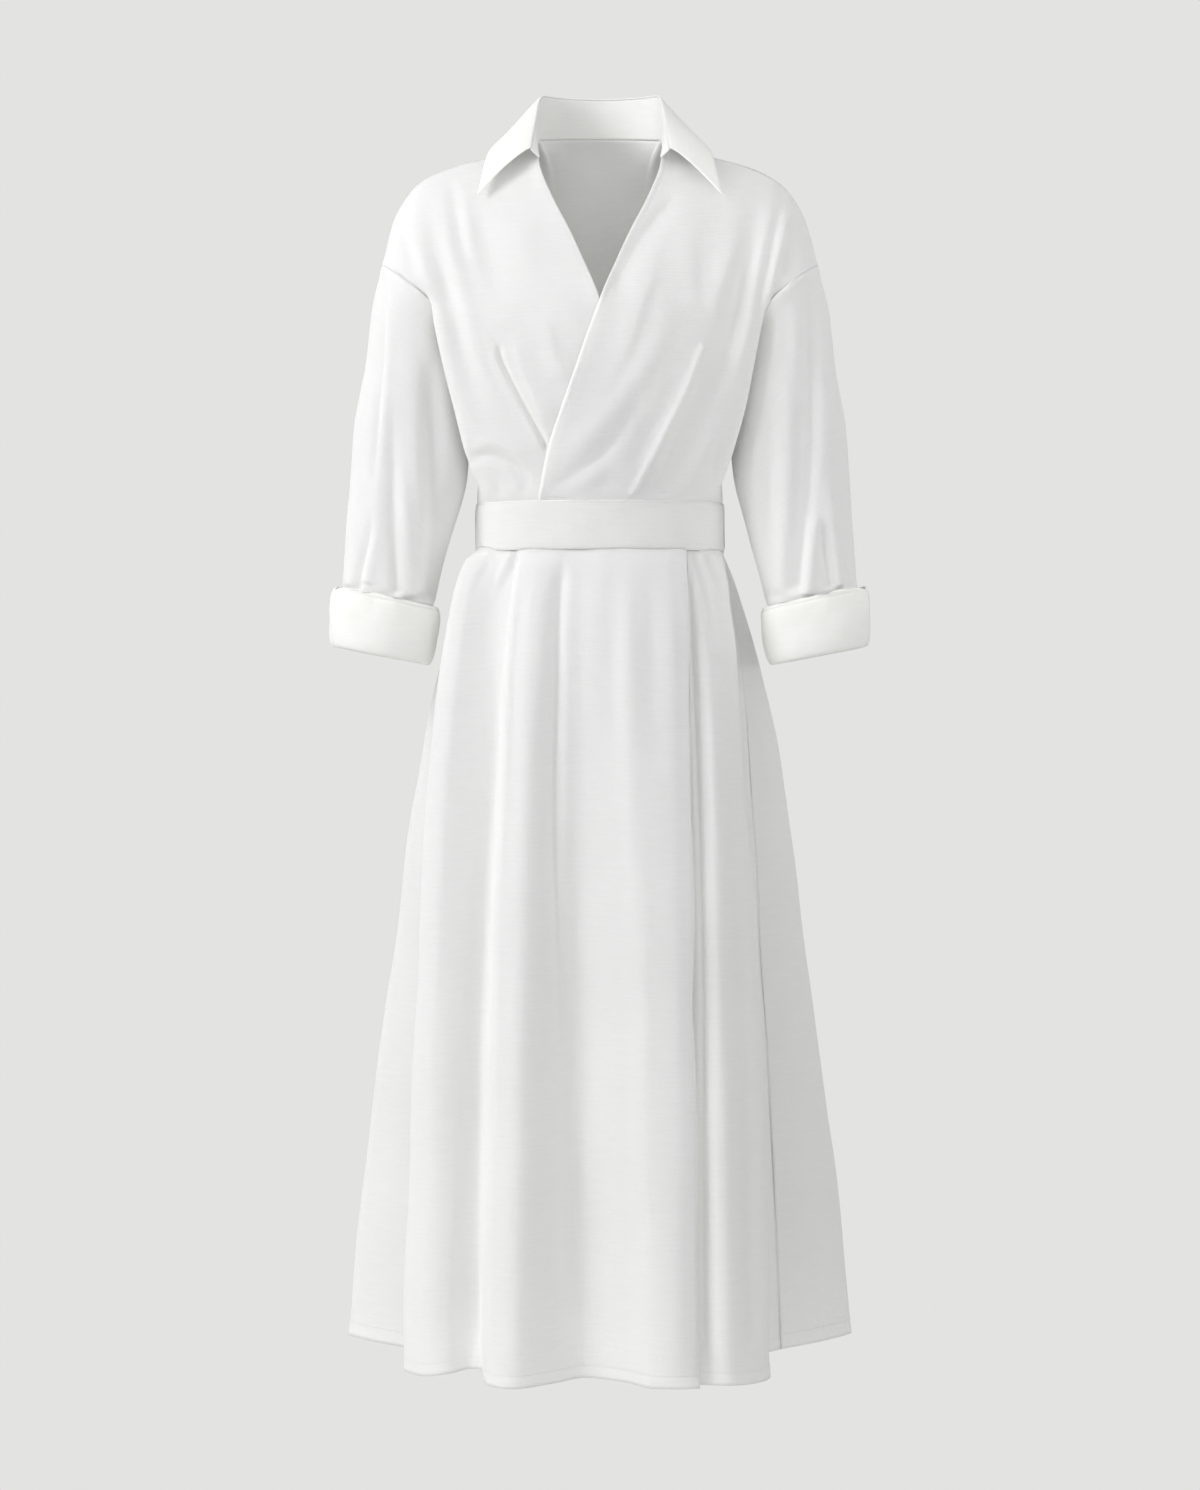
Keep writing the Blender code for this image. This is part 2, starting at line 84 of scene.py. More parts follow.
# %% [markdown]
# The room is a pale studio. Its light comes from all round, a little less from
# the floor, the ceiling and the wearer's left, and a little more from the
# front. One big soft lamp high at the wearer's right makes that side of each
# fold brighter, so that the folds can be read in white cloth, and a weak narrow
# one lifts the shade on the other side. The floor lies well below the hem,
# since the dress is held up at the shoulders, and it fades out towards its rim
# so that no line shows where it ends.

# %% Colours, nodes and objects
def linear(hex_colour):
    """Turn an sRGB hex colour into the linear numbers that a shader takes."""
    values = [int(hex_colour[i:i + 2], 16) / 255 for i in (1, 3, 5)]
    return tuple([v / 12.92 if v <= 0.04045 else ((v + 0.055) / 1.055) ** 2.4
                  for v in values] + [1.0])


def add_node(tree, kind, settings=None, inputs=None, links=None):
    """Add one node: its settings, its fixed inputs and what feeds the others."""
    node = tree.nodes.new(kind)
    for name, value in (settings or {}).items():
        setattr(node, name, value)
    for name, value in (inputs or {}).items():
        node.inputs[name].default_value = value
    for name, source in (links or {}).items():
        tree.links.new(source, node.inputs[name])
    return node


def put_in_scene(name, shape, material):
    """Turn a finished bmesh into an object of one material."""
    mesh = bpy.data.meshes.new(name)
    shape.to_mesh(mesh)
    shape.free()
    mesh.materials.append(material)
    piece = bpy.data.objects.new(name, mesh)
    bpy.context.scene.collection.objects.link(piece)
    return piece


# %% World, lamps and floor
BACKDROP = "#E3E3E2"
FLOOR_COLOUR = "#CACAC8"
FLOOR_Z = -1.95              # metres, far below the hem
FLOOR_RADIUS = 2.9
FADE_PAST = 0.1              # metres beyond the drop to the floor, where it starts to fade

Lamp = namedtuple("Lamp", "name place aim size power spread")
LAMPS = [
    Lamp("key_upper_left", (-2.55, -1.6, 0.95), (0.0, 0.0, -0.2), 1.4, 49.0, 180.0),
    Lamp("fill_right", (1.9, -0.8, -0.1), (0.25, 0.0, -0.25), 0.8, 0.6, 50.0),
]

LightShare = namedtuple("LightShare", "axis start end strength")
WORLD_SHARES = [
    LightShare("Z", -0.25, -0.9, 0.55),  # less light from the floor
    LightShare("Z", 0.2, 0.9, 0.8),      # and from the ceiling
    LightShare("X", 0.25, 0.95, 0.7),    # and from the wearer's left
    LightShare("Y", -0.3, -0.9, 1.4),    # more from the front
]


def make_world():
    world = bpy.data.worlds.new("pale_studio")
    bpy.context.scene.world = world
    world.use_nodes = True
    tree = world.node_tree
    ground = tree.nodes["Background"]
    ground.inputs["Color"].default_value = linear(BACKDROP)
    direction = add_node(tree, "ShaderNodeTexCoord").outputs["Generated"]
    towards = add_node(tree, "ShaderNodeSeparateXYZ", links={0: direction})
    strength = add_node(tree, "ShaderNodeValue").outputs["Value"]
    strength.default_value = 1.0
    for part in WORLD_SHARES:
        change = add_node(tree, "ShaderNodeMapRange", {"interpolation_type": "SMOOTHSTEP"},
                          {"From Min": part.start, "From Max": part.end,
                           "To Min": 1.0, "To Max": part.strength},
                          {"Value": towards.outputs[part.axis]})
        strength = add_node(tree, "ShaderNodeMath", {"operation": "MULTIPLY"},
                            links={0: strength, 1: change.outputs["Result"]}).outputs["Value"]
    tree.links.new(strength, ground.inputs["Strength"])
    bpy.context.scene.view_settings.view_transform = "Standard"


def make_lamp(lamp):
    data = bpy.data.lights.new(lamp.name, "AREA")
    data.size = lamp.size
    data.energy = lamp.power
    data.spread = radians(lamp.spread)
    light = bpy.data.objects.new(lamp.name, data)
    bpy.context.scene.collection.objects.link(light)
    light.location = lamp.place
    towards = Vector(lamp.aim) - Vector(lamp.place)
    light.rotation_euler = towards.to_track_quat("-Z", "Y").to_euler()


def make_floor():
    shape = bmesh.new()
    bmesh.ops.create_circle(shape, cap_ends=True, segments=96, radius=FLOOR_RADIUS)
    bmesh.ops.translate(shape, verts=shape.verts, vec=(0.0, 0.0, FLOOR_Z))
    paint = bpy.data.materials.new("pale_studio_floor")
    paint.use_nodes = True
    tree = paint.node_tree
    shader = tree.nodes["Principled BSDF"]
    shader.inputs["Base Color"].default_value = linear(FLOOR_COLOUR)
    shader.inputs["Roughness"].default_value = 0.9
    place = add_node(tree, "ShaderNodeTexCoord")
    reach = add_node(tree, "ShaderNodeVectorMath", {"operation": "LENGTH"},
                     links={0: place.outputs["Object"]})
    rim = sqrt(FLOOR_RADIUS ** 2 + FLOOR_Z ** 2)
    fade = add_node(tree, "ShaderNodeMapRange", {"interpolation_type": "SMOOTHSTEP"},
                    {"From Min": FADE_PAST - FLOOR_Z, "From Max": rim,
                     "To Min": 1.0, "To Max": 0.0},
                    {"Value": reach.outputs["Value"]})
    tree.links.new(fade.outputs["Result"], shader.inputs["Alpha"])
    put_in_scene("studio_floor", shape, paint)


make_world()
for lamp in LAMPS:
    make_lamp(lamp)
make_floor()
print("lamps", len(LAMPS), "floor at", FLOOR_Z, "m")

# %% [markdown]
# ## White cotton poplin
#
# The cloth is plain woven cotton of about 160 g/m², bleached white and washed.
# It is matt, with a very soft sheen where light grazes the fibres. Thread by
# thread the weave is 0.25 mm apart, too fine to draw at this size, so the bump
# is drawn at 0.9 mm: just enough grain to tell it from paper. Its slubs, the
# thicker threads, run across, and light creases left from washing cover it all.

# %% Cloth material
THREAD = 0.0009              # metres, the weave as drawn
SLUB_LONG = 0.030            # metres, length of a thick thread
SLUB_WIDE = 0.0022
SLUB_SHADE = 0.975           # a slub is this much darker than the cloth
RUMPLE = 0.045               # metres, size of the faint washing creases
COTTON = {
    "Roughness": 0.86,
    "Specular IOR Level": 0.28,
    "Sheen Weight": 0.12,
    "Sheen Roughness": 0.5,
    "Subsurface Weight": 1.0,
    "Subsurface Radius": (1.0, 1.0, 0.95),
    "Subsurface Scale": 0.0028,              # metres that light spreads in the cloth
}


def cotton_poplin(name, colour, weave=0.22):
    """Plain woven cotton: a fine weave, slubs and faint creases, on UVs in metres."""
    material = bpy.data.materials.new(name)
    material.use_nodes = True
    tree = material.node_tree
    shader = tree.nodes["Principled BSDF"]
    for socket, value in COTTON.items():
        shader.inputs[socket].default_value = value
    cloth_uv = add_node(tree, "ShaderNodeUVMap", {"uv_map": "cut"}).outputs["UV"]
    # A wave texture has a band for every pi / 10 of its scaled length.
    warp, weft = [add_node(tree, "ShaderNodeTexWave", {"bands_direction": direction},
                           {"Scale": 1 / THREAD / 20 * pi, "Distortion": 0.6, "Detail": 1.0},
                           {"Vector": cloth_uv})
                  for direction in ("X", "Y")]
    threads = add_node(tree, "ShaderNodeMath", {"operation": "ADD"},
                       links={0: warp.outputs["Fac"], 1: weft.outputs["Fac"]})
    across = add_node(tree, "ShaderNodeMapping",
                      inputs={"Scale": (1 / SLUB_LONG, 1 / SLUB_WIDE, 1.0)},
                      links={"Vector": cloth_uv})
    slubs = add_node(tree, "ShaderNodeTexNoise", inputs={"Scale": 1.0, "Detail": 2.0},
                     links={"Vector": across.outputs["Vector"]})
    place = add_node(tree, "ShaderNodeTexCoord").outputs["Object"]
    rumple = add_node(tree, "ShaderNodeTexNoise",
                      inputs={"Scale": 1 / RUMPLE, "Detail": 4.0, "Roughness": 0.55},
                      links={"Vector": place})
    fine = add_node(tree, "ShaderNodeBump", inputs={"Strength": weave, "Distance": 0.0002},
                    links={"Height": threads.outputs["Value"]})
    thick = add_node(tree, "ShaderNodeBump", inputs={"Strength": 0.25, "Distance": 0.0002},
                     links={"Height": slubs.outputs["Fac"], "Normal": fine.outputs["Normal"]})
    creased = add_node(tree, "ShaderNodeBump", inputs={"Strength": 0.16, "Distance": 0.004},
                       links={"Height": rumple.outputs["Fac"], "Normal": thick.outputs["Normal"]})
    tree.links.new(creased.outputs["Normal"], shader.inputs["Normal"])
    tone = add_node(tree, "ShaderNodeValToRGB", links={"Fac": slubs.outputs["Fac"]})
    tone.color_ramp.elements[0].color = [c * SLUB_SHADE for c in linear(colour)[:3]] + [1.0]
    tone.color_ramp.elements[0].position = 0.3
    tone.color_ramp.elements[1].color = linear(colour)
    tone.color_ramp.elements[1].position = 0.7
    tree.links.new(tone.outputs["Color"], shader.inputs["Base Color"])
    return material


poplin = cotton_poplin("white_cotton_poplin", "#F3F3F1")
doubled_poplin = cotton_poplin("white_cotton_poplin_doubled", "#EEEEEB")
thread_cotton = cotton_poplin("white_sewing_thread", "#E4E4E0", weave=0.0)
print("materials", poplin.name, doubled_poplin.name, thread_cotton.name)

# %% [markdown]
# ## Smooth curves from short tables
#
# A dressmaker draws a panel from a few measured lines. Each table here holds
# such lines, in millimetres, and a smooth curve runs through them that never
# swings past a measured point, so a seam stays where it was measured.

# %% Curve helpers
def between(part, start, leaving, end, arriving):
    """The curve from start to end that leaves and arrives at the given slopes."""
    square = part * part
    cube = square * part
    return ((2 * cube - 3 * square + 1) * start + (cube - 2 * square + part) * leaving
            + (3 * square - 2 * cube) * end + (cube - square) * arriving)


def smooth(points, places):
    """Read a curve through evenly numbered points at many places 0..n-1."""
    points = np.asarray(points, dtype=float)
    places = np.asarray(places, dtype=float)
    steps = np.diff(points, axis=0)
    slopes = np.empty_like(points)
    slopes[0] = steps[0]
    slopes[-1] = steps[-1]
    if len(points) > 2:
        first = steps[:-1]
        second = steps[1:]
        limit = 2.5 * np.minimum(np.abs(first), np.abs(second))
        limit[first * second <= 0] = 0.0
        slopes[1:-1] = np.clip((first + second) / 2, -limit, limit)
    start = np.clip(places.astype(int), 0, len(points) - 2)
    return between((places - start)[:, None], points[start], slopes[start],
                   points[start + 1], slopes[start + 1])


def read(table, keys):
    """Look up a two-column table, smoothly, by its first column."""
    known = np.array([float(row[0]) for row in table])
    values = np.array([float(row[1]) for row in table])
    keys = np.atleast_1d(np.asarray(keys, dtype=float))
    if known[-1] < known[0]:
        known = known[::-1]
        values = values[::-1]
    widths = np.diff(known)
    slopes = np.diff(values) / widths
    ends = np.concatenate(([slopes[0]], (slopes[1:] + slopes[:-1]) / 2, [slopes[-1]]))
    ends[1:-1][slopes[1:] * slopes[:-1] <= 0] = 0
    index = np.clip(np.searchsorted(known, keys) - 1, 0, len(widths) - 1)
    width = widths[index]
    part = np.clip((keys - known[index]) / width, 0.0, 1.0)
    return between(part, values[index], width * ends[index],
                   values[index + 1], width * ends[index + 1])


def ease(value):
    """A soft step from 0 to 1."""
    value = np.clip(value, 0.0, 1.0)
    return value * value * (3 - 2 * value)


def mirrored(points):
    return points * np.array([-1.0, 1.0, 1.0])


# %% [markdown]
# ## From a flat cut to a worn panel
#
# Each panel starts as a flat grid, like the cut cloth on the table. Its points
# are moved to the worn surface, row by row, then pushed along the surface's
# normal for creases, seams and folded edges, and a Solidify modifier gives the
# cloth its thickness. The grid keeps its flat sizes as UVs in metres, so the
# weave follows the cloth.

# %% A record for a cut's sizes, which is not used below
Cut = namedtuple("Cut", "width length area held rests_on")

# %% Panel helpers
def normals_of(points):
    """Unit normals of a grid of points, from the steps between neighbours."""
    along = np.gradient(points, axis=1)
    up = np.gradient(points, axis=0)
    cross = np.cross(along, up)
    size = np.linalg.norm(cross, axis=2, keepdims=True)
    return cross / np.maximum(size, 1e-9)


def raised(points, height):
    """Push a grid of points out along its normals."""
    return points + normals_of(points) * height[:, :, None]


def cut_sizes(points):
    """Distances along the rows and up the columns of a grid, in mm."""
    across = np.linalg.norm(np.diff(points, axis=1), axis=2).cumsum(axis=1)
    up = np.linalg.norm(np.diff(points, axis=0), axis=2).cumsum(axis=0)
    across = np.pad(across, ((0, 0), (1, 0)))
    up = np.pad(up, ((1, 0), (0, 0)))
    return across, up


def sew_panel(name, points, node, wall, material=None, closed=False, flip=False):
    """Make one cloth piece from a grid of worn points, in mm."""
    rows, columns = points.shape[:2]
    shape = bmesh.new()
    uv_layer = shape.loops.layers.uv.new("cut")
    bmesh.ops.create_grid(shape, x_segments=columns - 1, y_segments=rows - 1, size=0.5)
    across, up = cut_sizes(points)
    flat_uv = {}
    for vert in shape.verts:
        column = round((vert.co.x + 0.5) * (columns - 1))
        row = round((vert.co.y + 0.5) * (rows - 1))
        flat_uv[vert] = (across[row, column] * MM, up[row, column] * MM)
        vert.co = Vector(points[row, column] * MM)
    for face in shape.faces:
        for loop in face.loops:
            loop[uv_layer].uv = flat_uv[loop.vert]
    if closed:
        bmesh.ops.remove_doubles(shape, verts=shape.verts, dist=0.05 * MM)
    if flip:
        bmesh.ops.reverse_faces(shape, faces=shape.faces)
    for face in shape.faces:
        face.smooth = True
    piece = put_in_scene(name, shape, material or poplin)
    mesh = piece.data
    maker = piece.modifiers.new("Cloth thickness", "SOLIDIFY")
    maker.thickness = wall * MM
    maker.offset = 0.0
    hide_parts(node)
    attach(piece, "root")
    area = sum(face.area for face in mesh.polygons)
    print(f"{name}: {len(mesh.polygons)} faces, {area:.4f} m2 of cloth, "
          f"{across[:, -1].max():.0f} x {up[-1].max():.0f} mm")


# %% [markdown]
# Top-stitching shows as a row of short threads. Each is 2.4 mm long, and the
# needle went through every 3.2 mm. A row follows one line of a panel's grid.

# %% Stitches
STITCH_LENGTH = 2.4          # mm
STITCH_STEP = 3.2
STITCH_THICK = 0.32
stitch_rows = []


def stitch_along(line, out, lift):
    """Keep a row of stitches for later: points in mm, and the way out of the cloth."""
    stitch_rows.append((np.asarray(line) + np.asarray(out) * lift, np.asarray(out)))


def sew_stitches():
    shape = bmesh.new()
    for line, out in stitch_rows:
        reach = np.concatenate(([0.0], np.linalg.norm(np.diff(line, axis=0), axis=1).cumsum()))
        for start in np.arange(STITCH_STEP, reach[-1] - STITCH_STEP, STITCH_STEP):
            ends = [start, start + STITCH_LENGTH]
            a, b = [Vector([np.interp(end, reach, line[:, axis]) for axis in range(3)])
                    for end in ends]
            along = (b - a).normalized()
            up = Vector([np.interp(start, reach, out[:, axis]) for axis in range(3)])
            side = along.cross(up).normalized()
            up = side.cross(along)
            turn = Matrix((along * STITCH_LENGTH / 2, side * STITCH_THICK / 2,
                           up * STITCH_THICK / 2)).transposed().to_4x4()
            turn.translation = (a + b) / 2
            bmesh.ops.create_icosphere(shape, subdivisions=1, radius=1.0,
                                       matrix=Matrix.Scale(MM, 4) @ turn)
    bmesh.ops.recalc_face_normals(shape, faces=shape.faces)
    piece = put_in_scene("sewing_thread", shape, thread_cotton)
    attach(piece, "root")
    print("rows of stitches", len(stitch_rows), "faces", len(piece.data.polygons))


# %% [markdown]
# ## Creases placed one by one
#
# Poplin folds in long, soft troughs with a few sharp ridges where it is pulled
# towards a seam. A fold is a row in a table: a path of measured points from
# its top to its foot, how far it spreads to either side, and how high it stands
# (or how deep it lies, with a minus). One flank is often steeper than the
# other. It fades in over a share of its path and out again over another.

# %% Crease helpers
Fold = namedtuple("Fold", "path inner outer height start end")
PATH_STEPS = 25


def folds(across, up, table):
    """The height in mm that a table of folds adds at each point of a grid."""
    total = np.zeros_like(across)
    for fold in table:
        places = np.linspace(0.0, len(fold.path) - 1.0, PATH_STEPS)
        line = smooth(np.array(fold.path, dtype=float), places)
        nearest = np.full(across.shape, np.inf)
        signed = np.zeros_like(across)
        along = np.zeros_like(across)
        for step in range(PATH_STEPS - 1):
            run_x, run_z = line[step + 1] - line[step]
            off_x = across - line[step, 0]
            off_z = up - line[step, 1]
            length = sqrt(run_x ** 2 + run_z ** 2)
            part = np.clip((off_x * run_x + off_z * run_z) / length ** 2, 0.0, 1.0)
            gap = (off_x - run_x * part) ** 2 + (off_z - run_z * part) ** 2
            closer = gap < nearest
            nearest = np.where(closer, gap, nearest)
            signed = np.where(closer, (run_x * off_z - run_z * off_x) / length, signed)
            along = np.where(closer, (step + part) / (PATH_STEPS - 1.0), along)
        width = fold.inner + (fold.outer - fold.inner) * ease(signed / 3.0 + 0.5)
        fade = ease(along / fold.start) * ease((1.0 - along) / fold.end)
        total += fold.height * np.exp(-nearest / width ** 2) * fade
    return total


def rumpled(points, size, height, seed):
    """Gentle unevenness of hanging cloth: slow noise over the worn surface."""
    total = np.zeros(points.shape[:2])
    shift = Vector((seed * 7.31, seed * 3.17, seed * 5.71))
    for row in range(points.shape[0]):
        for column in range(points.shape[1]):
            place = Vector(points[row, column] / size) + shift
            total[row, column] = noise.noise(place)
    return total * height


def relaxed(points, passes):
    """Even out a grid up its columns, so no line shows where two rows meet."""
    for _ in range(passes):
        middle = (points[:-2] + points[2:]) / 2
        hold = ease(np.linspace(0.0, 8.0, points.shape[1] // 2))
        hold = np.concatenate((hold, np.ones(points.shape[1] - 2 * len(hold)), hold[::-1]))
        moved = points.copy()
        moved[1:-1] += (middle - points[1:-1]) * 0.9 * hold[None, :, None]
        points = moved
    return points


# %% [markdown]
# ## The bodice
#
# Both fronts are cut from one shape and lap left over right. The edge of each
# runs from the waistband in one long slant, becomes the V of the neck, and ends
# at the shoulder seam. The chest is a rounded surface over a general figure.
# In front of each arm the cloth stands in a loose fold before it turns in to
# the side seam, because the armhole is cut low and wide. The bodice's tables
# repeat the sizes of the frame's solids.

# %% Bodice sizes
SINGLE_CLOTH = 0.8
WAIST_WIDTH = 123.0
WAIST_DEPTH = 95.0
WAIST_BACK = 92.0
BAND_TOP = -355.0
BAND_BOTTOM = -402.0
HEM = -1212.0
NECK_X = 62.0
NECK_Z = 8.0
NAPE_Y = 58.0
NAPE_Z = 17.0
SHOULDER_END = 218.0
SHOULDER_ROUND = 190.0
YOKE_WIDTH = 236.0
LAP = 1.5                    # how far each front lies off their shared surface
LAP_REACH = 110.0            # how wide of the centre the lap has ended
LAP_TOP = -60.0              # and how low it begins
LAP_GROWS = 60.0             # height over which it reaches its full depth
LAP_EASES = -325.0           # below here it lies flatter, towards the band
LAP_EASED = 26.0
LAP_LEFT = 0.3               # the share of its depth that is left at the band
UNDERLAP_DEPTH = 4.0         # how far the right front sinks where the left covers it
WAIST_INSET = 1.0            # how far the bodice draws in beneath the band
TUCK_UNDER = 5.0             # how far a panel runs on beneath the waistband
TUCK_ROWS = 3
DRAW_IN = 8.0                # height over which it draws in
BAND_CLEAR = 1.5             # creases end this far above the band
BAND_FADE = 11.0             # and fade out over this height
UNDERARM_SEAM_Z = -196.0     # the armhole seam shows above here
UNDERARM_FADE = 12.0
SEAM_FADE = 9.0              # folds die out this close to a seam
UNEVEN_FADE = 30.0           # and so does the cloth's unevenness
ARMHOLE_CENTRE = np.array([175.0, 8.0, -150.5])
ARMHOLE_RISE = np.array([43.0, 0.0, 34.5])
ARMHOLE_REACH = np.array([0.0, -72.0, 0.0])
UNDERARM_TURN = 138.0
UNDERARM_FOLD_Z = -169.0
FOLD_RETURN = np.array([0.16, 0.5, 0.5])
TOP_GATHER = 0.88

EdgePoint = namedtuple("EdgePoint", "z x")
FRONT_EDGE = [
    EdgePoint(-355, -61),
    EdgePoint(-307, -52),
    EdgePoint(-230, -26),
    EdgePoint(-157, 0),
    EdgePoint(-66, 40),
    EdgePoint(-32, 57),
    EdgePoint(8, 62),
]

TorsoRow = namedtuple(
    "TorsoRow", "z front fold_x fold_y back back_fold_x back_fold_y side_x side_y")
TORSO = [
    TorsoRow(-355, 95, 108, -45, 92, 107, 45, 123, 0),
    TorsoRow(-330, 99, 124, -45, 94, 121, 46, 121, 2),
    TorsoRow(-300, 103, 134, -57, 96, 128, 56, 120, 3),
    TorsoRow(-260, 107, 145, -62, 99, 135, 64, 121, 4),
    TorsoRow(-222, 109, 152, -65, 102, 141, 69, 124, 5),
    TorsoRow(-192, 109, 158, -67, 103, 146, 72, 130, 6),
]
UNDERARM = TorsoRow(-152, 107, 162, -66, 103, 154, 74, 143, 0)

YokeRow = namedtuple("YokeRow", "edge_z front armhole back_z back gather shoulder")
YOKE = [
    YokeRow(-120, 106, 104, -122, 101, 0.975, 0.15),
    YokeRow(-88, 105, 74, -86, 96, 0.94, 0.35),
    YokeRow(-52, 105, 45, -48, 85, 0.90, 0.60),
    YokeRow(-18, 105, 20, -10, 69, 0.88, 0.85),
]

ShoulderPoint = namedtuple("ShoulderPoint", "x z")
SHOULDER = [
    ShoulderPoint(62, 8),
    ShoulderPoint(90, -1),
    ShoulderPoint(115, -9),
    ShoulderPoint(145, -16),
    ShoulderPoint(169, -26),
    ShoulderPoint(191, -45),
    ShoulderPoint(208, -78),
    ShoulderPoint(218, -116),
]

FRONT_SHARES = (0.0, 0.3, 0.6, 0.85)
NECK_SHARE = 0.284
BACK_SHARES = (0.0, 0.12, 0.22, NECK_SHARE, 0.45, 0.65, 0.84)
print("bodice rows", len(TORSO) + len(YOKE) + 2)

# %% Bodice surface
def shoulder_z(x):
    return float(read(SHOULDER, max(x, NECK_X))[0])


def armhole(angle):
    """A point on the left armhole: 0 is the outer top, 90 the front."""
    turn = radians(angle)
    return ARMHOLE_CENTRE + cos(turn) * ARMHOLE_RISE + sin(turn) * ARMHOLE_REACH


def rounding(x, z):
    below = min(max((shoulder_z(x) - z) / SHOULDER_ROUND, 0.0), 1.0)
    return (1 - (1 - below) ** 1.6) ** 0.75


def fold_row(shares, start_x, start_z, depth, fold, side):
    """Points of a row that rounds to a fold and turns in to the side seam."""
    full = fold[0] / sqrt(1 - (fold[1] / depth) ** 2)
    sign = 1 if fold[1] > 0 else -1
    points = []
    for share in shares:
        x = start_x + (fold[0] - start_x) * share
        y = sign * depth * sqrt(1 - (x / full) ** 2)
        points.append(np.array([x, y, start_z + (fold[2] - start_z) * share ** 2]))
    return points + [fold, side + (fold - side) * FOLD_RETURN, side]


def yoke_shares(shares, gather):
    return [share * gather for share in shares] + [gather, (1 + gather) / 2, 1.0]


def yoke_z(x, start_x, start_z, end, shoulder):
    """Height along an upper row: a straight fall mixed with the shoulder's."""
    share = (x - start_x) / (end[0] - start_x)
    top_start = shoulder_z(start_x)
    falls = (shoulder_z(x) - top_start) / (shoulder_z(end[0]) - top_start)
    return start_z + (end[2] - start_z) * (share * (1 - shoulder) + falls * shoulder)


def edge_x(z):
    return float(read(FRONT_EDGE, z)[0])


def front_rows():
    rows = []
    for row in TORSO:
        fold = np.array([row.fold_x, row.fold_y, row.z])
        side = np.array([row.side_x, row.side_y, row.z])
        rows.append(fold_row(FRONT_SHARES, edge_x(row.z), row.z, row.front, fold, side))
    fold = np.array([UNDERARM.fold_x, UNDERARM.fold_y, UNDERARM_FOLD_Z])
    rows.append(fold_row(FRONT_SHARES, edge_x(UNDERARM.z), UNDERARM.z, UNDERARM.front,
                         fold, armhole(UNDERARM_TURN)))
    for row in YOKE:
        start_x = edge_x(row.edge_z)
        end = armhole(row.armhole)
        shares = yoke_shares(FRONT_SHARES, row.gather)
        points = []
        for share in shares:
            x = start_x + (end[0] - start_x) * share
            z = yoke_z(x, start_x, row.edge_z, end, row.shoulder)
            y = -row.front * sqrt(1 - (x / YOKE_WIDTH) ** 2) * rounding(x, z)
            points.append(np.array([x, y, z]))
        miss = end - points[-1]
        rows.append([point + miss * share ** 3 for share, point in zip(shares, points)])
    rows.append([shoulder_point(NECK_X + (SHOULDER_END - NECK_X) * share)
                 for share in yoke_shares(FRONT_SHARES, TOP_GATHER)])
    return np.array(rows)


def shoulder_point(x):
    share = (x - NECK_X) / (SHOULDER_END - NECK_X)
    return np.array([x, ARMHOLE_CENTRE[1] * share, shoulder_z(x)])


def back_rows():
    rows = []
    for row in TORSO:
        fold = np.array([row.back_fold_x, row.back_fold_y, row.z])
        side = np.array([row.side_x, row.side_y, row.z])
        rows.append(fold_row(BACK_SHARES, 0.0, row.z, row.back, fold, side))
    fold = np.array([UNDERARM.back_fold_x, UNDERARM.back_fold_y, UNDERARM_FOLD_Z])
    rows.append(fold_row(BACK_SHARES, 0.0, UNDERARM.z - 6, UNDERARM.back, fold,
                         armhole(-UNDERARM_TURN)))
    for row in YOKE:
        end = armhole(-row.armhole)
        points = []
        for share in yoke_shares(BACK_SHARES, row.gather):
            x = end[0] * share
            y = end[1] + (row.back - end[1]) * sqrt(1 - share ** 2)
            points.append(np.array([x, y, yoke_z(x, 0.0, row.back_z, end, row.shoulder)]))
        rows.append(points)
    top = []
    corner = NECK_SHARE * TOP_GATHER
    for share in yoke_shares(BACK_SHARES, TOP_GATHER):
        if share < corner:
            turn = share / corner * pi / 2
            top.append(np.array([NECK_X * sin(turn), NAPE_Y * cos(turn),
                                 NECK_Z + (NAPE_Z - NECK_Z) * cos(turn)]))
        else:
            past = (share - corner) / (1 - corner)
            top.append(shoulder_point(NECK_X + (SHOULDER_END - NECK_X) * past))
    rows.append(top)
    return np.array(rows)


def loft(rows, up_places, across_places):
    """A grid of points: a smooth curve up each column, then across each row."""
    count, columns = rows.shape[:2]
    levels = smooth(rows.reshape(count, columns * 3), np.asarray(up_places) * (count - 1))
    levels = levels.reshape(len(up_places), columns, 3)
    return np.array([smooth(level, np.asarray(across_places) * (columns - 1))
                     for level in levels])


def under_the_band(points):
    """Draw the waist in a little, and run it straight down beneath the waistband."""
    drawn_in = WAIST_INSET / WAIST_WIDTH * ease((BAND_TOP + DRAW_IN - points[..., 2]) / DRAW_IN)
    points = points * (1.0 - drawn_in[:, :, None] * np.array([1.0, 1.0, 0.0]))
    foot = points[0].copy()
    extra = []
    for share in np.linspace(1.0, 1.0 / TUCK_ROWS, TUCK_ROWS):
        row = foot.copy()
        row[:, 2] -= TUCK_UNDER * share
        extra.append(row)
    return np.concatenate((np.array(extra), points))


def lapped(points, outward):
    """Move a front off the shared surface where the two fronts lap."""
    near = np.clip((1 - np.abs(points[..., 0]) / LAP_REACH) * 2.2, 0.0, 1.0)
    below = np.clip((LAP_TOP - points[..., 2]) / LAP_GROWS, 0.0, 1.0)
    below *= 1.0 - (1.0 - LAP_LEFT) * ease((LAP_EASES - points[..., 2]) / LAP_EASED)
    moved = points.copy()
    moved[..., 1] -= outward * LAP * near * below
    return moved


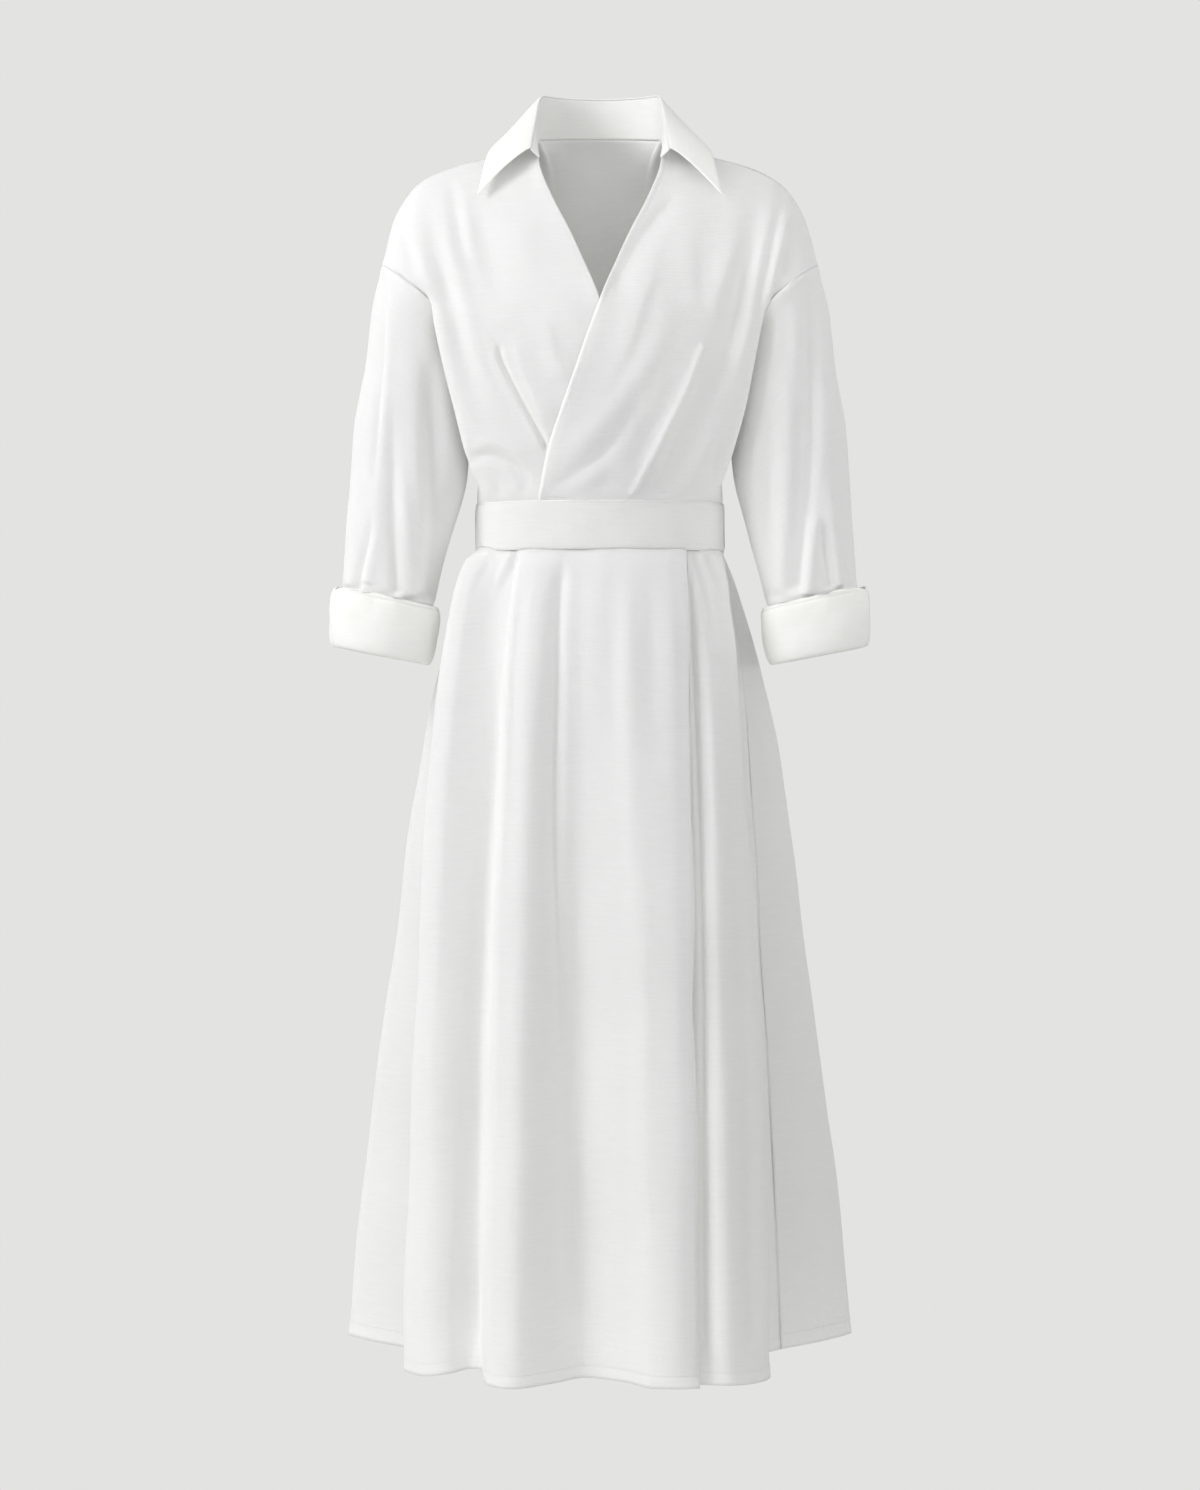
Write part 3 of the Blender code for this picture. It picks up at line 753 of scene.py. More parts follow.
# %% [markdown]
# ### Its creases
#
# A stitched tuck runs up from each side of the lap to shape the bust: it is a
# sharp ridge with a shadow on one side. From its end the cloth falls in softer
# drag lines: from the shoulder towards the arm, across the chest towards the
# lap, and short ones that fan from the waist seam.

# %% Bodice creases
LEFT_FOLDS = [
    Fold(((80, -45), (58, -72), (38, -100), (20, -133), (8, -156)), 6, 12, -3.6, 0.2, 0.2),
    Fold(((60, -76), (51, -130), (38, -166), (28, -200), (10, -235), (-18, -270)),
         15, 8, 3.4, 0.4, 0.4),
    Fold(((76, -110), (64, -178), (48, -215), (25, -250), (-2, -283), (-30, -312),
          (-52, -326)), 14, 11, 3.4, 0.4, 0.3),
    Fold(((46, -240), (28, -278), (8, -305), (-18, -325), (-42, -340), (-60, -354)),
         9, 6, -2.0, 0.4, 0.4),
    Fold(((30, -310), (2, -328), (-22, -342), (-40, -352)), 8, 7, 1.0, 0.4, 0.4),
    Fold(((94, -48), (88, -110), (90, -150), (94, -182)), 14, 9, 2.2, 0.5, 0.3),
    Fold(((142, -22), (127, -112), (114, -155), (106, -190)), 13, 12, 4.2, 0.45, 0.3),
    Fold(((163, -20), (151, -98), (140, -145), (130, -190), (117, -230), (99, -268),
          (80, -300)), 12, 9, -6.4, 0.35, 0.45),
    Fold(((173, -26), (162, -98), (154, -140), (146, -182), (135, -222), (120, -262)),
         8, 8, 4.4, 0.35, 0.45),
    Fold(((184, -38), (171, -98), (162, -134), (155, -170), (149, -206)),
         6, 6, -3.4, 0.35, 0.4),
    Fold(((192, -42), (180, -90), (171, -126), (163, -158), (158, -186)),
         6, 5, 5.0, 0.35, 0.35),
    Fold(((199, -58), (188, -104), (178, -136)), 6, 9, -4.6, 0.4, 0.3),
    Fold(((102, -199), (85, -244), (62, -292), (42, -330), (19, -372)),
         3.4, 1.9, 3.8, 0.05, 0.05),
    Fold(((114, -203), (97, -250), (76, -298), (56, -342), (40, -378)), 7, 15, -4.4, 0.25, 0.3),
    Fold(((88, -210), (66, -258), (44, -300), (28, -332)), 10, 7, -2.0, 0.35, 0.3),
    Fold(((122, -272), (106, -300), (90, -330), (82, -354)), 8, 7, 2.2, 0.35, 0.5),
    Fold(((110, -270), (92, -302), (76, -332), (70, -354)), 7, 7, -1.8, 0.4, 0.5),
    Fold(((128, -284), (114, -316), (108, -354)), 6, 6, -1.6, 0.4, 0.5),
    Fold(((12, -292), (4, -318), (6, -352)), 9, 9, -1.3, 0.4, 0.2),
]
RIGHT_FOLDS = [
    Fold(((101, -200), (97, -218), (85, -243), (67, -277), (51, -307)),
         3.4, 2.0, -3.6, 0.12, 0.03),
    Fold(((107, -206), (101, -222), (89, -247), (71, -281), (55, -310)),
         3.0, 4.5, 1.8, 0.15, 0.1),
    Fold(((88, -186), (78, -218), (62, -256), (50, -286)), 13, 6, 3.2, 0.35, 0.25),
    Fold(((58, -166), (48, -205), (34, -242)), 8, 13, 2.6, 0.4, 0.2),
    Fold(((162, -22), (152, -85), (142, -125), (131, -165), (121, -205), (107, -245),
          (90, -280)), 10, 10, 3.2, 0.3, 0.45),
    Fold(((139, -16), (130, -85), (122, -120), (112, -152)), 8, 7, 2.0, 0.4, 0.55),
    Fold(((190, -50), (178, -105), (167, -140), (158, -176), (149, -215), (136, -252),
          (117, -285), (98, -305)), 11, 9, 3.8, 0.25, 0.4),
    Fold(((174, -32), (164, -98), (154, -140), (143, -180), (132, -220), (116, -258)),
         9, 9, -3.0, 0.4, 0.45),
    Fold(((150, -20), (141, -88), (132, -128)), 7, 7, -1.8, 0.4, 0.5),
    Fold(((120, -50), (114, -90), (104, -140), (96, -176)), 12, 12, -1.8, 0.3, 0.4),
    Fold(((134, -314), (113, -309), (93, -316), (77, -330), (66, -350)), 5, 6, -3.0, 0.2, 0.2),
    Fold(((126, -300), (106, -296), (86, -304), (68, -322)), 8, 7, 2.2, 0.3, 0.3),
    Fold(((108, -322), (101, -338), (98, -354)), 5, 5, -1.6, 0.5, 0.05),
    Fold(((121, -322), (118, -354)), 5, 5, -1.5, 0.5, 0.05),
    Fold(((86, -332), (84, -354)), 6, 6, 1.4, 0.5, 0.05),
    Fold(((84, -60), (74, -105), (62, -150)), 15, 15, 2.0, 0.4, 0.4),
    Fold(((196, -84), (189, -112), (181, -138)), 7, 7, -2.6, 0.3, 0.3),
]
BACK_FOLDS = [
    Fold(((-166, -52), (-158, -100), (-148, -150), (-138, -200), (-124, -250)),
         10, 11, 5.0, 0.25, 0.4),
    Fold(((-146, -56), (-136, -110), (-126, -166), (-112, -230)), 10, 10, -4.2, 0.3, 0.4),
    Fold(((-118, -60), (-108, -120), (-96, -186)), 13, 13, 3.0, 0.4, 0.4),
    Fold(((164, -50), (158, -98), (146, -152), (134, -206), (118, -262)),
         11, 10, 5.2, 0.25, 0.4),
    Fold(((142, -54), (134, -106), (122, -160), (108, -218)), 11, 10, -4.4, 0.3, 0.4),
    Fold(((114, -64), (104, -130), (90, -196)), 13, 13, 2.8, 0.4, 0.4),
    Fold(((-96, -236), (-90, -290), (-88, -354)), 9, 7, 3.6, 0.5, 0.05),
    Fold(((-78, -250), (-74, -300), (-74, -354)), 8, 7, -3.0, 0.5, 0.05),
    Fold(((-52, -214), (-50, -280), (-52, -354)), 9, 8, 3.0, 0.5, 0.05),
    Fold(((-32, -262), (-32, -354)), 8, 8, -2.4, 0.5, 0.05),
    Fold(((-8, -226), (-10, -290), (-10, -354)), 10, 9, 2.6, 0.5, 0.05),
    Fold(((16, -268), (16, -354)), 8, 8, -2.2, 0.5, 0.05),
    Fold(((38, -232), (38, -292), (40, -354)), 9, 9, 3.0, 0.5, 0.05),
    Fold(((64, -256), (62, -304), (64, -354)), 8, 8, -2.8, 0.5, 0.05),
    Fold(((88, -228), (84, -290), (84, -354)), 9, 9, 3.4, 0.5, 0.05),
    Fold(((108, -270), (104, -312), (104, -354)), 8, 8, -2.4, 0.5, 0.05),
    Fold(((-112, -276), (-110, -316), (-110, -354)), 8, 8, -2.2, 0.5, 0.05),
    Fold(((-24, -34), (-30, -90), (-44, -150)), 20, 20, -2.2, 0.4, 0.5),
    Fold(((30, -40), (38, -100), (56, -160)), 20, 20, -2.0, 0.4, 0.5),
]
TURNED_EDGE = 4.5            # the narrow turned hem along a front's edge


def groove(distance, place, width, depth):
    """The furrow that a row of stitches pulls into the cloth."""
    return -depth * np.exp(-((distance - place) / width) ** 2)


def turned_edge(distance, width, height):
    """A narrow doubled edge: a raised strip with a stitched groove beside it."""
    strip = height * (1 - ease((distance - width + 1.4) / 2.8))
    return strip + groove(distance, width + 0.8, width=1.3, depth=0.5 * height)


def seam_roll(distance, height=0.9, width=3.0):
    """Cloth dips to a seam and swells a little beside it."""
    return (-height * np.exp(-(distance / (width * 0.5)) ** 2)
            + 0.5 * height * np.exp(-((distance - width) / width) ** 2))


def clear_of_band(points):
    """How much of a crease is left as the cloth nears the waistband."""
    return ease((points[..., 2] - BAND_TOP - BAND_CLEAR) / BAND_FADE)


def armhole_seam(points, distance):
    """The dip along the armhole, which fades out below the underarm."""
    return seam_roll(distance) * ease((points[:, -1:, 2] - UNDERARM_SEAM_Z) / UNDERARM_FADE)


def make_front(name, node, side, columns, rows):
    """One bodice front: side 1 is the wearer's left, which laps on top."""
    u = np.linspace(0.0, 1.0, columns)
    v = np.linspace(0.0, 1.0, rows)
    points = lapped(relaxed(loft(front_rows(), v, u), passes=70), side)
    across = cut_sizes(points)[0]
    from_armhole = across[:, -1:] - across
    clear = clear_of_band(points)
    height = folds(points[..., 0], points[..., 2], LEFT_FOLDS if side > 0 else RIGHT_FOLDS)
    height *= clear * ease(from_armhole / SEAM_FADE)
    height += turned_edge(across, TURNED_EDGE, height=0.4)
    height += armhole_seam(points, from_armhole)
    uneven = rumpled(points, size=70.0, height=1.5, seed=3 + side)
    height += uneven * clear * ease(from_armhole / UNEVEN_FADE)
    if side < 0:
        cover = -read(FRONT_EDGE, points[..., 2].ravel()).reshape(height.shape)
        height -= UNDERLAP_DEPTH * ease((cover - 4.0 - points[..., 0]) / 14.0) * clear
    points = under_the_band(raised(points, height))
    out = normals_of(points)
    if side < 0:
        points = mirrored(points)
        out = mirrored(out)
    edge = np.argmin(np.abs(cut_sizes(points)[0][rows // 2] - TURNED_EDGE))
    stitch_along(points[6:, edge], out[6:, edge], lift=0.5)
    sew_panel(name, points, node, SINGLE_CLOTH, flip=side < 0)


make_front("left_front_poplin", "front_left", side=1, columns=150, rows=165)
make_front("right_front_poplin", "front_right", side=-1, columns=150, rows=165)

# %% [markdown]
# The back is one piece. Its lowest rows fan in small pleats from the waist
# seam, and a loose fold stands behind each arm.

# %% Back bodice
def make_back(columns, rows):
    half = back_rows()
    whole_rows = np.concatenate((mirrored(half[:, :0:-1]), half), axis=1)
    points = loft(whole_rows, np.linspace(0.0, 1.0, rows), np.linspace(0.0, 1.0, columns))
    points = relaxed(points, passes=50)
    across = cut_sizes(points)[0]
    from_side = np.minimum(across, across[:, -1:] - across)
    clear = clear_of_band(points)
    height = folds(points[..., 0], points[..., 2], BACK_FOLDS)
    height *= clear * ease(from_side / SEAM_FADE)
    height += armhole_seam(points, from_side)
    uneven = rumpled(points, size=70.0, height=1.6, seed=9)
    height += uneven * clear * ease(from_side / UNEVEN_FADE)
    points = under_the_band(raised(points, -height))
    sew_panel("back_poplin", points, "back", SINGLE_CLOTH, flip=True)


make_back(columns=181, rows=120)

# %% [markdown]
# ## Sleeves
#
# Each sleeve is a tube set into the dropped armhole. It widens at the elbow
# and its cloth is caught in a few long pleats where it goes into the cuff, so
# soft folds run up from there and die out at the elbow. Round the tube, 0
# degrees is the outer side and 90 the front.

# %% Sleeve sizes and folds
SleeveRow = namedtuple("SleeveRow", "x y z width tilt depth")
SLEEVE = [
    SleeveRow(180.5, 6, -177, 46.5, 22, 67),
    SleeveRow(183, 2, -225, 51, 10, 63),
    SleeveRow(188, -1, -275, 56.5, 4, 60),
    SleeveRow(191, -5, -325, 57.5, 2, 57),
    SleeveRow(200, -11, -380, 52, 4, 52),
    SleeveRow(208, -16, -425, 46.5, 8, 47),
    SleeveRow(213, -19, -458, 43.5, 9, 44.5),
    SleeveRow(217, -21, -493, 42.5, 9, 43.5),
]
ARMHOLE_TUCK = np.array([-1.6, 0.0, 1.6])      # the sleeve's edge lies under the bodice
UNDERARM_TUCK = 2.4          # and a little further in beneath the arm

# Folds on the front half of each sleeve, by distance from the centre line.
LEFT_SLEEVE_FOLDS = [
    Fold(((208, -126), (209, -200), (210, -280), (207, -340), (200, -400), (195, -448)),
         7, 6, -5.0, 0.15, 0.05),
    Fold(((199, -165), (198, -260), (196, -340), (190, -400), (187, -448)),
         6, 6, -2.6, 0.4, 0.05),
    Fold(((222, -130), (223, -210), (224, -300), (226, -370)), 9, 9, 3.0, 0.3, 0.5),
    Fold(((224, -325), (229, -380), (237, -440)), 7, 4, 4.4, 0.4, 0.03),
    Fold(((219, -368), (222, -405), (229, -440)), 5, 5, -3.4, 0.3, 0.03),
    Fold(((213, -362), (208, -405), (204, -448)), 6, 7, 4.2, 0.25, 0.03),
    Fold(((244, -330), (245, -390), (246, -440)), 6, 6, -3.2, 0.5, 0.03),
    Fold(((182, -180), (184, -280), (182, -360), (180, -450)), 12, 9, 3.0, 0.4, 0.05),
    Fold(((168, -210), (166, -300), (168, -380), (172, -455)), 9, 9, -2.4, 0.4, 0.05),
    Fold(((188, -150), (192, -190), (192, -240)), 8, 8, 2.2, 0.4, 0.5),
    Fold(((176, -158), (172, -200), (166, -250)), 7, 8, 2.6, 0.4, 0.5),
]
RIGHT_SLEEVE_FOLDS = [
    Fold(((213, -120), (214, -180), (218, -250), (223, -320), (227, -380)),
         3.2, 4.5, -2.6, 0.12, 0.4),
    Fold(((207, -126), (209, -200), (213, -270), (218, -340)), 7, 5, 2.2, 0.2, 0.4),
    Fold(((220, -345), (227, -385), (235, -415), (241, -443)), 5, 4, -4.2, 0.4, 0.03),
    Fold(((226, -300), (222, -360), (226, -400), (232, -436)), 8, 5, 3.0, 0.4, 0.03),
    Fold(((169, -180), (167, -250), (164, -320), (163, -390), (169, -455)),
         9, 11, -5.4, 0.3, 0.03),
    Fold(((208, -235), (206, -300), (205, -360), (203, -400), (200, -449)),
         7, 6, -4.6, 0.4, 0.03),
    Fold(((196, -310), (191, -380), (189, -450)), 6, 7, 3.2, 0.4, 0.03),
    Fold(((184, -200), (182, -300), (178, -390), (179, -452)), 9, 9, 3.2, 0.4, 0.05),
    Fold(((246, -330), (246, -390), (248, -438)), 6, 6, 2.6, 0.5, 0.03),
    Fold(((154, -240), (150, -300), (150, -350)), 7, 7, 2.6, 0.4, 0.5),
    Fold(((176, -158), (170, -200), (164, -240)), 7, 8, 2.0, 0.4, 0.5),
]
# The hidden back halves fold in much the same way.
BACK_SLEEVE_FOLDS = [
    Fold(((212, -130), (216, -220), (220, -320), (232, -446)), 8, 8, 3.4, 0.3, 0.05),
    Fold(((198, -140), (200, -240), (204, -350), (214, -448)), 8, 8, -4.2, 0.3, 0.05),
    Fold(((184, -170), (186, -260), (192, -360), (200, -450)), 9, 9, 3.8, 0.4, 0.05),
    Fold(((170, -180), (172, -280), (176, -380), (186, -452)), 8, 9, -4.0, 0.4, 0.05),
    Fold(((156, -240), (158, -320), (166, -400), (174, -455)), 8, 8, 3.0, 0.4, 0.05),
    Fold(((236, -300), (240, -370), (244, -440)), 7, 7, -3.0, 0.5, 0.05),
]


def ring_points(row, y, turns):
    return np.stack((row.x + row.width * np.cos(turns), y - row.depth * np.sin(turns),
                     row.z + row.tilt * np.cos(turns)), axis=1)


def make_sleeve(name, node, side, table, columns, rows):
    turns = np.linspace(0.0, 2 * pi, columns)
    start = np.array([armhole(degrees(turn)) for turn in turns])
    start = start + ARMHOLE_TUCK * (0.35 + 0.65 * (1 + np.cos(turns))[:, None] / 2)
    start[:, 0] += UNDERARM_TUCK * (1 - np.cos(turns)) / 2
    rings = [start] + [ring_points(row, row.y, turns) for row in SLEEVE]
    rings = np.array(rings).reshape(len(SLEEVE) + 1, columns * 3)
    places = np.linspace(0.0, len(SLEEVE), rows)
    points = smooth(rings, places).reshape(rows, columns, 3)
    up = cut_sizes(points)[1]
    front = ease(np.sin(turns) * 2.5 + 0.5)[None, :]
    height = front * folds(points[..., 0], points[..., 2], table)
    height += (1 - front) * folds(points[..., 0], points[..., 2], BACK_SLEEVE_FOLDS)
    height *= ease(up / 14.0)
    height += seam_roll(up, height=0.8) + 1.1 * np.exp(-((up - 7.0) / 6.0) ** 2)
    uneven = rumpled(points, size=60.0, height=1.8, seed=21 + side)
    join = (1 + np.cos(turns - pi))[None, :] / 2
    height += uneven * ease(up / UNEVEN_FADE) * ease(join * 6)
    points = raised(points, height)
    points[:, -1] = points[:, 0]
    if side < 0:
        points = mirrored(points)
    sew_panel(name, points, node, SINGLE_CLOTH, closed=True, flip=side < 0)


make_sleeve("left_sleeve_poplin", "sleeve_left", 1, LEFT_SLEEVE_FOLDS, columns=150, rows=140)
make_sleeve("right_sleeve_poplin", "sleeve_right", -1, RIGHT_SLEEVE_FOLDS, columns=150, rows=140)

# %% [markdown]
# ## Turned-back cuffs
#
# The cuff is doubled cloth, sewn to the sleeve's end and folded up over it, so
# its lower edge is a soft roll. It opens at the outer side: the front end has a
# rounded corner, and the back end runs on beneath it.

# %% Cuffs
CuffRow = namedtuple("CuffRow", "x z width tilt depth")
CUFF = [
    CuffRow(217.05, -493.7, 42.4, 9, 43.4),
    CuffRow(217.8, -501.5, 43.4, 9, 44.4),
    CuffRow(218.0, -505.6, 46.2, 9, 47.0),
    CuffRow(217.8, -502, 49.8, 9, 50.2),
    CuffRow(217.0, -492, 52.0, 9.3, 52.0),
    CuffRow(215.5, -474, 53.2, 10, 52.8),
    CuffRow(214.0, -456, 53.4, 11, 52.8),
    CuffRow(213.4, -447.5, 51.6, 11.4, 51.0),
]
CUFF_Y = -21.0
CUFF_OPENING = 20.0          # degrees from the outer side towards the front
CUFF_UNDERLAP = 26.0         # degrees that the back end runs on beneath
CUFF_GAP = 2.5               # degrees between the ends where it is sewn to the sleeve
CUFF_CLOTH = 1.7
CUFF_RADIUS = 53.0
CUFF_STITCH = 6.5            # the row of stitches lies this far from the edge
CUFF_OVERLAP_DEPTH = 4.6     # how far the back end sinks beneath the front end
SINKS_FROM = 357.0           # degrees round the cuff, where the back end starts to sink
SINKS_OVER = 20.0
CUFF_DROP = 15.0             # how far the back end's corner hangs down
HANGS_FROM = 345.0           # degrees, where it starts to hang
HANGS_OVER = 55.0
CUFF_END_LIFT = 2.4          # the front end stands off by this
CORNER = 28.0                # radius of the rounded corner
TURN_UP = 56.0
ROLL_PLACE = 3.6             # rows of the table from the seam to past the roll


def make_cuff(name, node, side, seed, columns, rows):
    places = np.concatenate((np.linspace(0.0, ROLL_PLACE, rows // 2, endpoint=False),
                             np.linspace(ROLL_PLACE, len(CUFF) - 1, rows - rows // 2)))
    lift = np.clip((places - 3.0) / (len(CUFF) - 4.0), 0.0, 1.0)
    from_top = (1.0 - lift) * TURN_UP
    across_share = np.linspace(0.0, 1.0, columns)
    points = np.empty((rows, columns, 3))
    for index, place in enumerate(places):
        inside = np.clip(1.0 - from_top[index] / CORNER, 0.0, 1.0)
        cut_back = degrees(CORNER * (1 - sqrt(1 - inside ** 2)) / CUFF_RADIUS)
        under = CUFF_UNDERLAP * lift[index] ** 0.5
        end = CUFF_OPENING + 360.0 - CUFF_GAP + under - cut_back * 0.4
        turns = np.radians(np.linspace(CUFF_OPENING + cut_back, end, columns))
        sinks = ease((np.degrees(turns) - SINKS_FROM) / SINKS_OVER)
        sinks *= CUFF_OVERLAP_DEPTH * lift[index] ** 0.5
        rings = np.array([ring_points(row, CUFF_Y, turns) for row in CUFF])
        ring = smooth(rings.reshape(len(CUFF), columns * 3), [place]).reshape(columns, 3)
        lifts = CUFF_END_LIFT * np.exp(-(across_share * 12.0) ** 2) * lift[index]
        ring[:, 0] += (lifts - sinks) * np.cos(turns)
        ring[:, 1] -= (lifts - sinks) * np.sin(turns)
        hangs = ease((np.degrees(turns) - HANGS_FROM) / HANGS_OVER) * lift[index] ** 2
        ring[:, 2] -= CUFF_DROP * hangs
        points[index] = ring
    across = cut_sizes(points)[0]
    turned_up = lift[:, None]
    height = rumpled(points, size=26.0, height=3.0, seed=seed) * (0.15 + 0.85 * turned_up)
    height += rumpled(points, size=11.0, height=0.9, seed=seed + 3) * turned_up
    edge = np.minimum(across, from_top[:, None])
    height += groove(edge, CUFF_STITCH, width=1.0, depth=0.45) * turned_up
    points = raised(points, -height)
    out = -normals_of(points)
    if side < 0:
        points = mirrored(points)
        out = mirrored(out)
    top = np.argmin(np.abs(from_top - CUFF_STITCH))
    stitch_along(points[top, 8:-8], out[top, 8:-8], lift=CUFF_CLOTH / 2)
    sew_panel(name, points, node, CUFF_CLOTH, doubled_poplin, flip=side > 0)


make_cuff("left_cuff_poplin", "cuff_left", side=1, seed=31, columns=170, rows=60)
make_cuff("right_cuff_poplin", "cuff_right", side=-1, seed=37, columns=170, rows=60)

# %% [markdown]
# ## The collar
#
# The collar has two pieces. The stand is sewn to the neck seam and shows inside
# the back of the neck. The leaf is sewn to the stand's top edge, rolls over and
# falls to two points in front. It is interfaced, so it keeps a clean shape with
# straight edges.

# %% Collar
CollarRow = namedtuple(
    "CollarRow", "seam_x seam_y seam_z roll_x roll_y roll_z edge_x edge_y edge_z")
COLLAR = [
    CollarRow(0, 58, 17, 0, 61, 58, 0, 80, 8),
    CollarRow(34, 49, 16, 35, 51, 58, 44, 72, 8),
    CollarRow(54, 29, 13, 54, 29, 57.5, 76, 50, 9),
    CollarRow(61.5, 6, 9, 60.5, 4, 49, 96, 18, 8),
    CollarRow(62, -16, 0.5, 64, -18, 27, 110, -12, -2),
    CollarRow(60, -31.5, -11.5, 69, -35.5, -3, 121, -50, -50),
]
ROLL = 4.0                   # how far the leaf stands off where it rolls over
STAND_CLOTH = 1.3
LEAF_CLOTH = 1.2
LEAF_STITCH = 5.0            # the row of stitches lies this far from the edge


def collar_halves(columns):
    """The seam, roll and edge lines from the right end round to the left end."""
    half = np.array(COLLAR, dtype=float)
    right = half[:0:-1].copy()
    right[:, [0, 3, 6]] *= -1
    rows = np.concatenate((right, half))
    whole = smooth(rows, np.linspace(0.0, len(rows) - 1.0, columns))
    return whole[:, 0:3], whole[:, 3:6], whole[:, 6:9]


def make_stand(columns, rows):
    seam, roll, _ = collar_halves(columns)
    v = np.linspace(0.0, 1.0, rows)[:, None, None]
    low = seam + np.array([0.0, 0.0, 0.4])
    high = roll - np.array([0.0, 0.0, 1.0])
    points = low[None] + (high - low)[None] * v
    points = raised(points, rumpled(points, size=40.0, height=0.5, seed=41))
    sew_panel("collar_stand_poplin", points, "collar_stand", STAND_CLOTH, doubled_poplin)


def make_leaf(columns, rows):
    _, roll, edge = collar_halves(columns)
    out = edge - roll
    out[:, 2] = 0.0
    out /= np.linalg.norm(out, axis=1, keepdims=True)
    v = (np.linspace(0.0, 1.0, rows) ** 1.3)[:, None, None]
    points = roll[None] + (edge - roll)[None] * v
    stand_off = ROLL * np.sqrt(v) * (1 - v) * 2.0
    points = points + out[None] * stand_off
    points[..., 2] += stand_off[..., 0] * 0.6 + 0.2
    across, up = cut_sizes(points)
    to_edge = np.minimum(up[-1:] - up, np.minimum(across, across[:, -1:] - across))
    height = rumpled(points, size=55.0, height=1.2, seed=45) * ease(up / 20.0)
    height += groove(to_edge, LEAF_STITCH, width=0.9, depth=0.35)
    out = -normals_of(points)
    points = points + out * height[:, :, None]
    middle = up[:, columns // 2]
    low = np.argmin(np.abs(middle[-1] - LEAF_STITCH - middle))
    stitch_along(points[low, 3:-3], out[low, 3:-3], lift=LEAF_CLOTH / 2)
    sew_panel("collar_leaf_poplin", points, "collar_leaf", LEAF_CLOTH, doubled_poplin, flip=True)


make_stand(columns=121, rows=20)
make_leaf(columns=221, rows=46)

# %% [markdown]
# ## The waistband
#
# The waistband is a straight doubled band, front and back, that covers the raw
# edges of bodice and skirt. Its stitching draws the cloth in along both long
# edges, and between them it bulges very slightly.

# %% Waistband
BAND_CLOTH = 0.9
BAND_PAST = 0.5              # how far it covers bodice and skirt past the waist lines
BAND_STITCH = 2.2            # the rows of stitches lie this far from its edges


def make_band(name, node, first, depth, seed, columns=160, rows=30):
    """Half of the band, from one side seam to the other, round from angle first."""
    turns = np.radians(np.linspace(first, first + 180, columns))
    v = np.linspace(0.0, 1.0, rows)
    points = np.empty((rows, columns, 3))
    for index, share in enumerate(v):
        grow = 0.6 + 0.2 * (1.0 - share) + 0.2 * sin(pi * share)
        points[index, :, 0] = (WAIST_WIDTH + grow) * np.sin(turns)
        points[index, :, 1] = -(depth + grow) * np.cos(turns)
        points[index, :, 2] = (BAND_BOTTOM - BAND_PAST
                               + (BAND_TOP - BAND_BOTTOM + 2 * BAND_PAST) * share)
    up = cut_sizes(points)[1]
    to_edge = np.minimum(up, up[-1:] - up)
    height = groove(to_edge, BAND_STITCH, width=0.9, depth=0.15)
    height += groove(to_edge, 0.0, width=1.2, depth=0.3)
    height += rumpled(points, size=30.0, height=1.3, seed=seed) * ease(to_edge / 8.0)
    out = normals_of(points)
    points = points + out * height[:, :, None]
    for row in (1, rows - 2):
        stitch_along(points[row], out[row], lift=0.52)
    sew_panel(name, points, node, BAND_CLOTH, doubled_poplin)


make_band("front_waistband_poplin", "waistband_front", -90, WAIST_DEPTH, seed=51)
make_band("back_waistband_poplin", "waistband_back", 90, WAIST_BACK, seed=53)

# %% [markdown]
# ## The skirt
#
# The skirt is cut in an A shape with a wide hem, front and back. Its fold lines
# run from the waist ring to the hem, and each row of the tables is one of them:
# a crest, a trough, or a turn of the knife pleat. The pleat on the wearer's
# left turns under twice and is pressed from waist to hem. The one on the right
# is only caught at the waist and opens to a soft fold. The frame's solids keep
# the pleat's layers further apart, and their right side fold swells a little
# later below the waist.

# %% Skirt lines
# How much of its spread from waist to hem the skirt has reached at each height.
GrowthPoint = namedtuple("GrowthPoint", "z share")
GROWTH = [
    GrowthPoint(-402, 0.0),
    GrowthPoint(-410, 0.045),
    GrowthPoint(-430, 0.11),
    GrowthPoint(-455, 0.175),
    GrowthPoint(-487, 0.25),
    GrowthPoint(-540, 0.345),
    GrowthPoint(-612, 0.455),
    GrowthPoint(-720, 0.575),
    GrowthPoint(-831, 0.68),
    GrowthPoint(-1019, 0.86),
    GrowthPoint(-1172, 0.98),
    GrowthPoint(-1215, 1.0),
]

